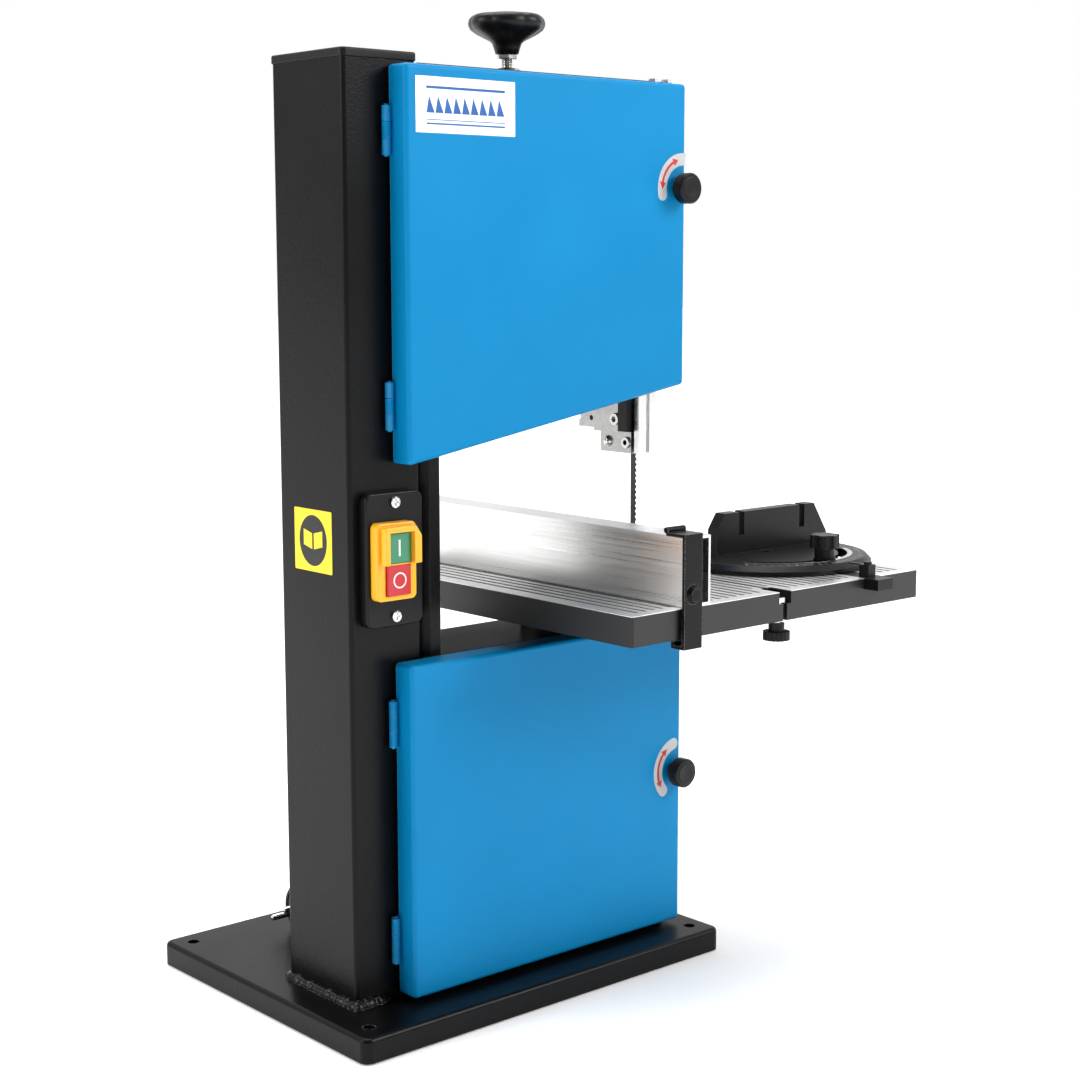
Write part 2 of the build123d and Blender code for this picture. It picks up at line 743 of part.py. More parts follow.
def blade_guides():
    z = guide_low + 8
    left = rod_x(wheel_y, z, guide_pin, blade_mid - guide_half - 2, blade_x - fit_gap)
    right = rod_x(wheel_y, z, guide_pin, blade_mid + blade_thickness / 2 + fit_gap, blade_mid + guide_half)
    axis_y, axis_z = blade_back + 8.5, guide_high + 9
    bearing = rod_x(axis_y, axis_z, 8, blade_mid - 2.5, blade_mid + 2.5)
    bearing = bearing - rod_x(axis_y, axis_z, 2.5, blade_mid - 5, blade_mid + 5)
    screw = rod_x(axis_y, axis_z, 2.5, blade_mid - guide_half - 1, blade_mid + guide_half - 2)
    screw = screw + rod_x(axis_y, axis_z, 4.8, blade_mid - guide_half - 4, blade_mid - guide_half - 1)
    bolt = rod_x(blade_back + 17, z, 4, blade_mid - guide_half - 3, blade_mid - guide_half)
    return [left, right, bearing, screw, bolt]


def guide_cover():
    left = blade_mid - guide_half - 1 - 4
    front = blade_back - 8
    cover = slab(left, left + 3, front, blade_back + 1.5, guide_high + 0.5, guide_high + 36)
    return cover + slab(left, blade_mid - 3.5, front, front + 3, guide_high + 0.5, guide_high + 36)


def guide_guard():
    """Aluminium channel in front of the teeth, on a leg beside the guide's right arm."""
    left = blade_x - 6
    back = blade_back - blade_width - 3.5
    front = back - guard_depth
    plate = slab(left, left + guard_width, front, back, guide_low, guide_low + guard_height)
    middle = left + guard_width / 2 + 0.4
    slot = slab(middle - 1.7, middle + 1.7, front - 1, front + 3, guide_low - 1, guide_low + guard_height + 1)
    leg = slab(blade_mid + guide_half, left + guard_width, back, blade_back + 6, guide_low, guide_low + 40)
    screw = rod_x(wheel_y - 1, guide_low + 8, 4, left + guard_width, left + guard_width + 3)
    return [plate - slot + leg, screw]


def lower_blade_guide():
    """Thrust roller and side blocks under the table, on a lug of the lower housing's top."""
    z = lower_door_top - housing_sheet
    plate = slab(blade_mid - 16, blade_mid + 16, blade_back + 3, blade_back + 12, z - 24, z)
    left = slab(blade_mid - 10, blade_x - fit_gap, blade_back - 6, blade_back + 3, z - 22, z - 10)
    right = slab(blade_mid + blade_thickness / 2 + fit_gap, blade_mid + 10, blade_back - 6, blade_back + 3,
                 z - 22, z - 10)
    return plate + left + right + slab(blade_mid - 16, blade_mid + 16, blade_back + 12, blade_back + 24, z - 3, z)


# ---------------------------------------------------------------- table
def table_grooves():
    """Rows of shallow grooves in the top, which stop short of the edges, the insert and the mitre slot."""
    front, back = table_front + groove_margin, table_back - groove_margin
    cuts = []
    count = int((table_side - 2 * groove_margin) / groove_pitch)
    start = (table_left + table_right) / 2 - (count - 1) * groove_pitch / 2
    for index in range(count):
        x = start + index * groove_pitch
        if abs(x - gauge_x) < mitre_slot_width / 2 + groove_pitch / 2:
            continue
        spans = [(front, back)]
        reach = insert_radius + 5
        if abs(x - blade_mid) < reach:
            half = sqrt(reach ** 2 - (x - blade_mid) ** 2)
            spans = [(front, wheel_y - half), (wheel_y + half, back)]
        if abs(x - blade_mid) < notch_width / 2 + groove_width / 2 + 1:
            spans[0] = (table_front + notch_length + 4, spans[0][1])
        if abs(x - blade_mid) < slit_width / 2 + groove_width / 2 + 1:
            spans = spans[1:]
        for y0, y1 in spans:
            cuts.append(groove(x, y0, y1))
    return cuts


def groove(x, y0, y1):
    half = groove_width / 2
    z0, z1 = table_top - groove_depth, table_top + 1
    return slab(x - half, x + half, y0 + half, y1 - half, z0, z1) + rod_z(x, y0 + half, half, z0, z1) \
        + rod_z(x, y1 - half, half, z0, z1)


def table():
    top = slab(table_left, table_right, table_front, table_back, rim_under, table_top)
    top = fillet(top.edges().filter_by(Axis.Z), 2)
    hollow = slab(table_left + table_wall, table_right - table_wall, table_front + table_wall,
                  table_back - table_wall, rim_under - 1, table_under)
    body = top - hollow
    body = body + rod_z(blade_mid, wheel_y, insert_radius + 7, table_under - 7, table_under)
    half = mitre_slot_width / 2
    body = body + slab(gauge_x - half - 6, gauge_x + half + 6, table_front + 2, table_back - 2,
                       table_top - mitre_slot_depth - 6, table_under)
    pad_low = rim_under
    body = body + slab(blade_x - 45, blade_x + 45, trunnion_y - 8, trunnion_y + 18, pad_low, table_under)
    body = body + slab(blade_mid - 14, blade_mid + 14, table_front + 2, thumb_y + 12, rim_under, table_under)
    body = body - rod_z(blade_mid, wheel_y, insert_radius - 4, rim_under - 1, table_top + 1)
    body = body - rod_z(blade_mid, wheel_y, insert_radius, table_top - insert_thickness, table_top + 1)
    body = body - slab(blade_mid - slit_width / 2, blade_mid + slit_width / 2, table_front - 1, wheel_y,
                       rim_under - 1, table_top + 1)
    body = body - slab(blade_mid - notch_width / 2, blade_mid + notch_width / 2, table_front - 1,
                       table_front + notch_length, table_top - notch_depth, table_top + 1)
    body = body - slab(gauge_x - half, gauge_x + half, table_front - 1, table_back + 1,
                       table_top - mitre_slot_depth, table_top + 1)
    body = body - rod_z(blade_mid, thumb_y, 3.2, rim_under - 1, table_top)
    for cut in table_grooves():
        body = body - cut
    return body


def table_insert():
    disc = rod_z(blade_mid, wheel_y, insert_radius - 0.1, table_top - insert_thickness, table_top - 0.1)
    front, back = wheel_y - insert_radius - 1, wheel_y + 12
    disc = disc - slab(blade_mid - insert_slot, blade_mid + insert_slot, front, back, table_top - 10, table_top + 10)
    relief = insert_thickness + 0.8
    return disc - slab(blade_mid, blade_mid + relief, front, back, table_top - 10, table_top - insert_slot + 0.3)


def slot_bolt():
    head = hex_z(blade_mid, thumb_y, 10, table_top - notch_depth, table_top - notch_depth + 4)
    return head + rod_z(blade_mid, thumb_y, 3, rim_under - 15, table_top - notch_depth)


def thumb_nut():
    top = rim_under - 2.6
    hub = rod_z(blade_mid, thumb_y, 5.8, top - 5.8, top)
    disc = rod_z(blade_mid, thumb_y, 9.7, top - 12.1, top - 5.8)
    for turn in range(18):
        angle = 2 * pi * turn / 18
        disc = disc - rod_z(blade_mid + 9.9 * cos(angle), thumb_y + 9.9 * sin(angle), 0.8, top - 13, top - 5.8)
    return disc + hub - rod_z(blade_mid, thumb_y, 3 + run_gap, top - 13, top + 1)


def sector(inner, outer, first, last, y0, y1):
    """Ring segment in the XZ plane about the tilt axis, between two angles in degrees."""
    centre = table_top
    ring = tube_y(blade_mid, centre, outer, inner, y0, y1)
    far = outer * 3
    points = [(blade_mid, centre)]
    steps = 4
    for index in range(steps + 1):
        angle = radians(first + (last - first) * index / steps)
        points.append((blade_mid + far * cos(angle), centre + far * sin(angle)))
    return ring & prism_y(points, y0, y1)


def table_trunnion():
    """Half-moon under the table with the curved slot for the lock bolt."""
    y0, y1 = trunnion_y, trunnion_y + trunnion_thickness
    inner, outer = trunnion_radius - trunnion_band, trunnion_radius + trunnion_band
    band = sector(inner, outer, -118, -22, y0, y1)
    web = slab(blade_x - 40, blade_x + 40, y0, y1, rim_under - 38, rim_under) & rod_y_axis(
        blade_mid, table_top, outer, y0, y1)
    flange = slab(blade_x - 40, blade_x + 40, y0 - 6, y1 + 8, rim_under - 5, rim_under)
    slot_half = tilt_bolt + 0.4
    slot = sector(trunnion_radius - slot_half, trunnion_radius + slot_half, -97, -38, y0 - 1, y1 + 1)
    return band + web + flange - slot


def trunnion_bracket():
    """Plate on the lower housing's back wall that carries the half-moon and its lock bolt."""
    front, back = housing_back, trunnion_y - 0.4
    plate = slab(blade_mid - 30, blade_mid + 19, front, back, trunnion_z - 22, trunnion_z + 16)
    return plate - rod_y_axis(blade_mid, trunnion_z, tilt_bolt + run_gap, back - 10, back + 1)


def tilt_lock_knob():
    start = trunnion_y - 9
    knob_start = trunnion_y + trunnion_thickness + 2
    stud = rod_y_axis(blade_mid, trunnion_z, tilt_bolt, start, knob_start)
    washer = rod_y_axis(blade_mid, trunnion_z, 9, knob_start - 1.6, knob_start) - rod_y_axis(
        blade_mid, trunnion_z, tilt_bolt, knob_start - 3, knob_start + 1)
    knob = rod_y_axis(blade_mid, trunnion_z, 19, knob_start + 6, knob_start + 22)
    for turn in range(6):
        angle = radians(60 * turn)
        knob = knob - rod_y_axis(blade_mid + 23 * cos(angle), trunnion_z + 23 * sin(angle), 6.5,
                                 knob_start, knob_start + 40)
    return [stud, washer, knob + rod_y_axis(blade_mid, trunnion_z, 9, knob_start, knob_start + 6)]


# ---------------------------------------------------------------- fence
def fence():
    outer = slab(fence_left, fence_right, fence_front, fence_back, fence_low, fence_top)
    inner = slab(fence_left + fence_wall, fence_right - fence_wall, fence_front - 1, fence_back + 1,
                 fence_low + fence_wall, fence_top - fence_wall)
    return outer - inner


def fence_clamp():
    """Front strap that hooks over the fence and under the table, with its carriage bolt."""
    x0, x1 = fence_left - 3.4, fence_left - 3.4 + strap_width
    y1 = fence_front
    y0 = y1 - strap_sheet
    z0 = rim_under - 7
    strap = slab(x0, x1, y0, y1, z0, fence_top + strap_sheet)
    strap = strap + slab(x0, x1, y0, y0 + 18, fence_top, fence_top + strap_sheet)
    curl = rod_x(y0 + 18, fence_top + strap_sheet + 1.2, 2.2, x0, x1)
    strap = strap + curl + slab(x0, x1, y0, table_front + table_wall, z0, z0 + strap_sheet)
    strap = strap + slab(x0, x1, table_front + table_wall - 2, table_front + table_wall + 0.5, z0, z0 + 5)
    bolt = Pos((x0 + x1) / 2, y0, table_top + 9.6) * Rot(90, 0, 0) * Cone(7, 4.5, 3)
    bolt = Pos(0, -1.5, 0) * bolt
    rear = slab(x0, x1, fence_back, fence_back + strap_sheet, rim_under - 6, fence_top - 10)
    rear = rear + slab(x0, x1, table_back - 6, fence_back + strap_sheet, rim_under - 6,
                       rim_under - 6 + strap_sheet)
    return [strap, bolt, rear]


# ---------------------------------------------------------------- mitre gauge
def mitre_bar():
    half = mitre_slot_width / 2 - bar_gap
    low = table_top - mitre_slot_depth + fit_gap
    bar = slab(gauge_x - half, gauge_x + half, bar_front, bar_front + bar_length, low, table_top)
    bar = bar + rod_z(gauge_x, gauge_pivot_y, 3, table_top - 1, table_top + gauge_lift + gauge_plate + 0.6)
    point_y = gauge_pivot_y - gauge_radius - 19
    post = slab(gauge_x - 4, gauge_x + 4, point_y - 5, point_y + 4, table_top, table_top + 4)
    pointer = slab(gauge_x - 1.5, gauge_x + 1.5, point_y, point_y + 16, table_top + 7.9, table_top + 8.9)
    holder = slab(gauge_x - 4, gauge_x + 4, point_y - 5, point_y + 4, table_top + 4, table_top + 8.9)
    return [bar, post + holder + pointer + rod_z(gauge_x, point_y - 1, 3, table_top + 8.9, table_top + 11)]


def gauge_face():
    """Upright face of the gauge with chamfered corners and two open slots."""
    y0 = gauge_pivot_y + 8
    z0, z1 = table_top + gauge_lift, table_top + gauge_lift + gauge_wall_height
    x0, x1 = gauge_x - gauge_wall_left, gauge_x + gauge_wall_right
    cut = 12.0
    outline = [(x0, z0), (x1, z0), (x1, z1 - 2 * cut), (x1 - cut * 1.3, z1), (x0 + cut * 0.7, z1), (x0, z1 - cut)]
    face = prism_y(outline, y0, y0 + gauge_wall)
    for x in (x0 + 27, x1 - 30):
        face = face - slab(x - 3, x + 3, y0 - 1, y0 + gauge_wall + 1, z1 - 18, z1 + 1)
    return face


def mitre_head():
    z0, z1 = table_top + gauge_lift, table_top + gauge_lift + gauge_plate
    disc = rod_z(gauge_x, gauge_pivot_y, gauge_radius, z0, z1)
    disc = chamfer(disc.faces().sort_by(Axis.Z)[-1].edges(), 4)
    disc = disc & slab(gauge_x - 100, gauge_x + 100, gauge_pivot_y - 100, gauge_pivot_y + 9, z0 - 1, z1 + 1)
    slot_half = 3.4
    ring = rod_z(gauge_x, gauge_pivot_y, gauge_slot_radius + slot_half, z0 - 1, z1 + 1)
    ring = ring - rod_z(gauge_x, gauge_pivot_y, gauge_slot_radius - slot_half, z0 - 2, z1 + 2)
    wedge = [(gauge_x, gauge_pivot_y), (gauge_x + 200, gauge_pivot_y - 95), (gauge_x, gauge_pivot_y - 300),
             (gauge_x - 200, gauge_pivot_y - 95)]
    disc = disc - (ring & prism_z(wedge, z0 - 1, z1 + 1))
    body = disc + gauge_face()
    return body - rod_z(gauge_x, gauge_pivot_y, 3 + run_gap, z0 - 1, z1 + 1)


def mitre_knob():
    y = gauge_pivot_y - gauge_slot_radius
    z0 = table_top + gauge_lift + gauge_plate + 0.4
    stud = rod_z(gauge_x, y, 3, table_top + fit_gap, z0)
    washer = rod_z(gauge_x, y, 8.5, z0, z0 + 1.5)
    neck = rod_z(gauge_x, y, 7.5, z0 + 1.5, z0 + 10)
    knob = rod_z(gauge_x, y, 11, z0 + 9, z0 + 19)
    for turn in range(6):
        angle = radians(60 * turn)
        knob = knob - rod_z(gauge_x + 13 * cos(angle), y + 13 * sin(angle), 4, z0 + 8, z0 + 20)
    return [stud + washer, neck + knob]


# ---------------------------------------------------------------- motor and dust port
def motor_body():
    body = rod_y_axis(axis_x, lower_axis_z, motor_radius, housing_back, motor_back)
    body = body - rod_y_axis(axis_x, lower_axis_z, shaft_radius + run_gap, housing_back - 1, motor_back - 20)
    for turn in range(motor_grooves):
        cut = slab(motor_radius - 5, motor_radius + 5, housing_back + 12, motor_back - 6, -2.2, 2.2)
        body = body - Pos(axis_x, 0, lower_axis_z) * Rot(0, 360 * turn / motor_grooves, 0) * cut
    return body


def motor_fan_cover():
    y0, y1 = motor_back, motor_back + fan_cover_length
    cover = rod_y_axis(axis_x, lower_axis_z, fan_cover_radius, y0, y1)
    cover = fillet(cover.faces().sort_by(Axis.Y)[-1].edges(), 6)
    cover = cover - rod_y_axis(axis_x, lower_axis_z, fan_cover_radius - 2, y0 - 1, y1 - 2)
    for ring_radius, count in ((16, 6), (28, 12), (40, 18)):
        for turn in range(count):
            angle = 2 * pi * turn / count
            cover = cover - rod_y_axis(axis_x + ring_radius * cos(angle), lower_axis_z + ring_radius * sin(angle),
                                       3.2, y1 - 5, y1 + 1)
    return cover


def dust_port():
    y0 = housing_back
    pipe = tube_y(dust_x, dust_z, dust_outer, dust_outer - dust_wall, y0, y0 + dust_length)
    return pipe + tube_y(dust_x, dust_z, dust_outer + 6, dust_outer - dust_wall, y0, y0 + 3)


# ---------------------------------------------------------------- mains cord
def cord_gland():
    nut = hex_y(gland_x, gland_z, 18, housing_back, housing_back + 6)
    relief = Pos(gland_x, housing_back + 6 + (gland_length - 6) / 2, gland_z) * Rot(-90, 0, 0) * Cone(
        7.5, 4.6, gland_length - 6)
    return nut + relief


def coil_touch(x, y, side):
    """End of a straight run from (x, y) towards the tangent of the coil's outer turn, just inside the coil."""
    across, along = coil_x - x, coil_y - y
    distance = sqrt(across ** 2 + along ** 2)
    turn_radius = coil_radius + (coil_turns_across - 1) / 2 * cord_diameter
    angle = atan2(along, across) + side * asin(turn_radius / distance)
    reach = sqrt(distance ** 2 - turn_radius ** 2) - coil_bite
    return x + reach * cos(angle), y + reach * sin(angle), cord_z


def lead_route():
    start = housing_back + gland_length
    return [(gland_x, start, gland_z), (gland_x, 34, gland_z), (-20, 50, 42), (-2, 59.5, 34), (20, 60.5, 26),
            (49, 54, cord_z), coil_touch(49, 54, -1)]


def tail_route():
    end = plug_face_x + plug_length + plug_relief
    high = base_height + plug_radius
    return [coil_touch(62, 111.5, 1), (62, 111.5, cord_z), (40, 94.5, 26), (23, 83, 32),
            (5, plug_y, high), (end, plug_y, high)]


def arc_radii(points):
    radii = []
    for before, here, after in zip(points, points[1:], points[2:]):
        first, second = Vector(*here) - Vector(*before), Vector(*after) - Vector(*here)
        turn = radians(first.get_angle(second))
        radii.append(0.45 * min(first.length, second.length) / tan(turn / 2))
    return radii


def cord_tube(name, points):
    radii = arc_radii(points)
    print(name, "radii", [round(r, 1) for r in radii])
    path = FilletPolyline(*points, radius=radii)
    section = Plane(origin=path @ 0, z_dir=path % 0) * Circle(cord_radius)
    tube = sweep(section, path)
    print(name, "length", round(path.length, 1), "volume ratio",
          round(tube.volume / (pi * cord_radius ** 2 * path.length), 4))
    return tube - rod_z(coil_x, coil_y, coil_outer(), 0, base_height + coil_height() + 1)


def coil_outer():
    return coil_radius + coil_turns_across * cord_diameter / 2


def coil_height():
    return coil_layers * cord_diameter


def cord_coil():
    outer, inner = coil_outer(), coil_radius - coil_turns_across * cord_diameter / 2
    high = coil_height()
    ring = rod_z(coil_x, coil_y, outer, base_height, base_height + high)
    ring = ring - rod_z(coil_x, coil_y, inner, base_height - 1, base_height + high + 1)
    return fillet(ring.edges(), cord_radius * 0.9)


def mains_plug():
    z = base_height + plug_radius
    end = plug_face_x + plug_length
    body = rod_x(plug_y, z, plug_radius, plug_face_x, plug_face_x + 24)
    body = fillet(body.edges(), 1.5)
    taper = Pos(plug_face_x + 23 + (plug_length - 23) / 2, plug_y, z) * Rot(0, 90, 0) * Cone(
        16, 9, plug_length - 23)
    relief = Pos(end + plug_relief / 2, plug_y, z) * Rot(0, 90, 0) * Cone(8, 4.6, plug_relief)
    solids = [body + taper + relief]
    for side in (-1, 1):
        y, pz = plug_y + side * 0.85 * pin_spacing / 2, z - side * 0.53 * pin_spacing / 2
        solids.append(rod_x(y, pz, pin_radius, plug_face_x - pin_length, plug_face_x))
    return solids


# ---------------------------------------------------------------- write every sub-part
def write_all():
    save("base_plate", base_plate())
    save("base_pads", *base_pads())
    save("column", column())
    save("column_cap", column_cap())
    save("return_blade_guard", return_blade_guard())
    save("upper_housing", upper_housing())
    save("lower_housing", lower_housing())
    save("frame_hinge_leaves", *frame_hinge_leaves())
    save("upper_door", upper_door())
    save("upper_door_fittings", door_leaf(upper_hinge_low), door_leaf(upper_hinge_high), *door_bolts())
    save("upper_door_latch", *latch(upper_latch_z))
    save("lower_door", lower_door())
    save("lower_door_leaves", door_leaf(lower_hinge_low), door_leaf(lower_hinge_high))
    save("lower_door_latch", *latch(lower_latch_z))
    save("switch_box", switch_box())
    save("frame_screws", *frame_screws())
    save("switch_bezel", switch_bezel())
    save("on_button", button(on_low))
    save("off_button", button(off_low))
    save("upper_wheel", wheel(upper_axis_z, bearing_outer))
    save("upper_tyre", tyre(upper_axis_z))
    save("upper_bearings", *upper_bearings())
    save("lower_wheel", wheel(lower_axis_z, shaft_radius))
    save("lower_tyre", tyre(lower_axis_z))
    save("motor_shaft", *motor_shaft())
    save("saw_blade", saw_blade())
    save("tension_bracket", tension_bracket())
    save("wheel_carriage", *wheel_carriage())
    save("tension_spring", tension_spring())
    save("tilt_yoke", tilt_yoke(), upper_axle())
    save("tracking_knob", *tracking_knob())
    save("tension_knob", tension_knob(), *tension_rod())
    save("guide_post", guide_post())
    save("guide_post_bracket", guide_post_bracket())
    save("guide_lock_knob", *guide_lock_knob())
    save("guide_body", guide_body())
    save("blade_guides", *blade_guides())
    save("guide_cover", guide_cover())
    save("guide_guard", *guide_guard())
    save("lower_blade_guide", lower_blade_guide())
    save("table", table())
    save("table_insert", table_insert())
    save("slot_bolt", slot_bolt())
    save("thumb_nut", thumb_nut())
    save("table_trunnion", table_trunnion())
    save("trunnion_bracket", trunnion_bracket())
    save("tilt_lock_knob", *tilt_lock_knob())
    save("fence", fence())
    save("fence_clamp", *fence_clamp())
    save("mitre_bar", *mitre_bar())
    save("mitre_head", mitre_head())
    save("mitre_knob", *mitre_knob())
    save("motor_body", motor_body())
    save("motor_fan_cover", motor_fan_cover())
    save("dust_port", dust_port())
    save("cord_gland", cord_gland())
    save("cord_lead", cord_tube("cord_lead", lead_route()))
    save("cord_tail", cord_tube("cord_tail", tail_route()))
    save("cord_coil", cord_coil())
    save("mains_plug", *mains_plug())


os.makedirs("parts", exist_ok=True)
write_all()
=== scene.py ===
"""Studio scene of a benchtop band saw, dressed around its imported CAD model."""

import json
import logging
import math
from dataclasses import dataclass, field
from enum import Enum
from typing import Callable, Sequence

import bpy
from mathutils import Matrix, Vector, noise


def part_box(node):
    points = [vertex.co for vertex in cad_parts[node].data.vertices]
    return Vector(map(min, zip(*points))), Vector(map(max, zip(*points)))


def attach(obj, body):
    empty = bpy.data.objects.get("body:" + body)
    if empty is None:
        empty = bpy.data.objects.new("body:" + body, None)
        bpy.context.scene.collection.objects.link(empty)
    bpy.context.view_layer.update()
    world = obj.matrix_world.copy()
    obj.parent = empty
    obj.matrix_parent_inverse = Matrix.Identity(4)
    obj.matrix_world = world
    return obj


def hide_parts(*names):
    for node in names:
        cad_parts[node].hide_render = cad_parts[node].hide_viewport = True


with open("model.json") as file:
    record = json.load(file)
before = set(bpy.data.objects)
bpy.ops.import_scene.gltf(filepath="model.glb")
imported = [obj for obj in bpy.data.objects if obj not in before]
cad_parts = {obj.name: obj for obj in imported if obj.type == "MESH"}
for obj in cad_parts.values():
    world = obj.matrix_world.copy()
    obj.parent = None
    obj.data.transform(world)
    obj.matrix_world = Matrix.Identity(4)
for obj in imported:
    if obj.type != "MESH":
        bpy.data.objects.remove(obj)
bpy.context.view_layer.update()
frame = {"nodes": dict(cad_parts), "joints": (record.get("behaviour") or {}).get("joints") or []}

MM = 0.001
BLADE_THICKNESS = 0.4 * MM
CAP_SIDES = 9
WELD_DISTANCE = 0.000005
SOFTEN_ABOVE = math.radians(40)
EVEN_WEIGHT = 100
LOG = logging.getLogger("band_saw")

Colour = tuple[float, float, float]
Point = tuple[float, float, float]
Spot = tuple[float, float]
Outline = Sequence[Spot]


# ---------------------------------------------------------------- node graphs
class Graph:
    """A short way to add and join shader nodes in one tree."""

    def __init__(self, tree: bpy.types.NodeTree) -> None:
        """Works on one node tree."""
        self.tree = tree

    def add(self, kind: str, values: dict | None = None, **settings: object) -> bpy.types.Node:
        """Adds one node.

        Args:
            kind: The node's type, without its ShaderNode prefix.
            values: Input name or number to its value, or to the output socket that feeds it.
            settings: The node's own settings.

        Returns:
            The new node.
        """
        node = self.tree.nodes.new("ShaderNode" + kind)
        for name, value in settings.items():
            setattr(node, name, value)
        for name, value in (values or {}).items():
            if isinstance(value, bpy.types.NodeSocket):
                self.tree.links.new(value, node.inputs[name])
            else:
                node.inputs[name].default_value = value
        return node

    def range(self, value: bpy.types.NodeSocket, low: float, high: float, new_low: float,
              new_high: float) -> bpy.types.NodeSocket:
        """Maps a value from one range to another, clamped.

        Args:
            value: The value's socket.
            low: Start of the range it comes in.
            high: End of the range it comes in.
            new_low: What low becomes.
            new_high: What high becomes.

        Returns:
            The mapped value's socket.
        """
        node = self.add("MapRange", {0: value, 1: low, 2: high, 3: new_low, 4: new_high})
        return node.outputs[0]

    def mix(self, share: bpy.types.NodeSocket, first: object, second: object) -> bpy.types.NodeSocket:
        """Mixes two colours.

        Args:
            share: How much of the second colour, from 0 to 1.
            first: Colour or socket.
            second: Colour or socket.

        Returns:
            The mixed colour's socket.
        """
        node = self.add("Mix", {0: share, 6: first, 7: second}, data_type="RGBA")
        return node.outputs[2]


def make_group(name: str, inputs: dict[str, float], outputs: dict[str, str],
               fill: Callable[[Graph, bpy.types.Node], dict]) -> bpy.types.NodeTree:
    """Builds one shader node group.

    Args:
        name: The group's name.
        inputs: Float input name to its default value.
        outputs: Output name to its socket type.
        fill: Adds the nodes, and returns output name to the socket that feeds it.

    Returns:
        The group's node tree.
    """
    tree = bpy.data.node_groups.new(name, "ShaderNodeTree")
    for socket_name, value in inputs.items():
        socket = tree.interface.new_socket(socket_name, in_out="INPUT", socket_type="NodeSocketFloat")
        socket.default_value = value
    for socket_name, kind in outputs.items():
        tree.interface.new_socket(socket_name, in_out="OUTPUT", socket_type=kind)
    graph = Graph(tree)
    start = tree.nodes.new("NodeGroupInput")
    end = tree.nodes.new("NodeGroupOutput")
    for socket_name, socket in fill(graph, start).items():
        tree.links.new(socket, end.inputs[socket_name])
    return tree


def fill_grain(graph: Graph, start: bpy.types.Node) -> dict:
    """Orange-peel and hammered grain with slow blotches, for coats, castings and plastics."""
    place = graph.add("TexCoord").outputs["Object"]
    cells = graph.add("TexVoronoi", {"Vector": place, "Scale": start.outputs["Scale"], "Smoothness": 0.8},
                      feature="SMOOTH_F1")
    grain = graph.add("TexNoise", {"Vector": place, "Scale": start.outputs["Scale"], "Detail": 2.0})
    height = graph.add("Mix", {0: start.outputs["Hammer"], 2: grain.outputs[0], 3: cells.outputs[0]})
    blotch = graph.add("TexNoise", {"Vector": place, "Scale": start.outputs["Blotch Scale"], "Detail": 3.0})
    return {"Height": height.outputs[0], "Blotch": graph.range(blotch.outputs[0], 0.3, 0.7, 0.0, 1.0)}


def fill_lines(graph: Graph, start: bpy.types.Node) -> dict:
    """Long fine lines left by a brush or a cutter, with slow changes of tone."""
    place = graph.add("TexCoord").outputs["Object"]
    stretch = graph.add("CombineXYZ", {0: start.outputs["Across X"], 1: start.outputs["Across Y"],
                                       2: start.outputs["Across Z"]})
    squeezed = graph.add("VectorMath", {0: place, 1: stretch.outputs[0]}, operation="MULTIPLY")
    lines = graph.add("TexNoise", {"Vector": squeezed.outputs[0], "Scale": 1.0, "Detail": 4.0,
                                   "Roughness": 0.65})
    slow = graph.add("TexNoise", {"Vector": place, "Scale": 14.0, "Detail": 2.0})
    return {"Height": lines.outputs[0], "Tone": graph.range(lines.outputs[0], 0.3, 0.7, 0.0, 1.0),
            "Cloud": graph.range(slow.outputs[0], 0.3, 0.7, 0.0, 1.0)}


def fill_edges(graph: Graph, start: bpy.types.Node) -> dict:
    """Marks sharp edges where a rounded normal parts from the true normal, broken up by noise; the lighter
    colour laid along this mask is painted highlight.
    """
    soft = graph.add("Bevel", {"Radius": start.outputs["Radius"]}, samples=4)
    flat = graph.add("NewGeometry").outputs["True Normal"]
    along = graph.add("VectorMath", {0: soft.outputs[0], 1: flat}, operation="DOT_PRODUCT")
    edge = graph.range(along.outputs["Value"], 0.97, 0.80, 0.0, 1.0)
    place = graph.add("TexCoord").outputs["Object"]
    broken = graph.add("TexNoise", {"Vector": place, "Scale": 850.0, "Detail": 2.0})
    share = graph.range(broken.outputs[0], 0.40, 0.60, 0.0, 1.0)
    # Broken edge mask for the painted highlight along sharp edges.
    highlight_mask = graph.add("Math", {0: edge, 1: share}, operation="MULTIPLY")
    return {"Edge": edge, "Wear": highlight_mask.outputs[0]}


FLOAT, VECTOR = "NodeSocketFloat", "NodeSocketVector"
GRAIN = make_group("surface_grain", {"Scale": 900.0, "Hammer": 0.5, "Blotch Scale": 9.0},
                   {"Height": FLOAT, "Blotch": FLOAT}, fill_grain)
LINES = make_group("tool_lines", {"Across X": 600.0, "Across Y": 6.0, "Across Z": 600.0},
                   {"Height": FLOAT, "Tone": FLOAT, "Cloud": FLOAT}, fill_lines)
# Edge mask group; the lighter colour it lays on coats is painted highlight.
EDGES = make_group("edge_painted_highlight", {"Radius": 0.0012}, {"Edge": FLOAT, "Wear": FLOAT}, fill_edges)


# ---------------------------------------------------------------- finishes
def place_group(graph: Graph, tree: bpy.types.NodeTree, values: dict[str, float]) -> bpy.types.Node:
    """Places a node group in a material with its own values.

    Args:
        graph: The material's graph.
        tree: The group.
        values: Input name to its value.

    Returns:
        The group's node.
    """
    node = graph.add("Group", node_tree=tree)
    for name, value in values.items():
        node.inputs[name].default_value = value
    return node


def start_material(name: str, values: dict[str, object]) -> tuple[bpy.types.Material, Graph, bpy.types.Node]:
    """Makes a material that holds one Principled shader.

    Args:
        name: The material's name.
        values: The shader's own socket values.

    Returns:
        The material, its graph and the shader.
    """
    material = bpy.data.materials.new(name)
    material.use_nodes = True
    graph = Graph(material.node_tree)
    shader = material.node_tree.nodes["Principled BSDF"]
    for socket_name, value in values.items():
        shader.inputs[socket_name].default_value = value
    return material, graph, shader


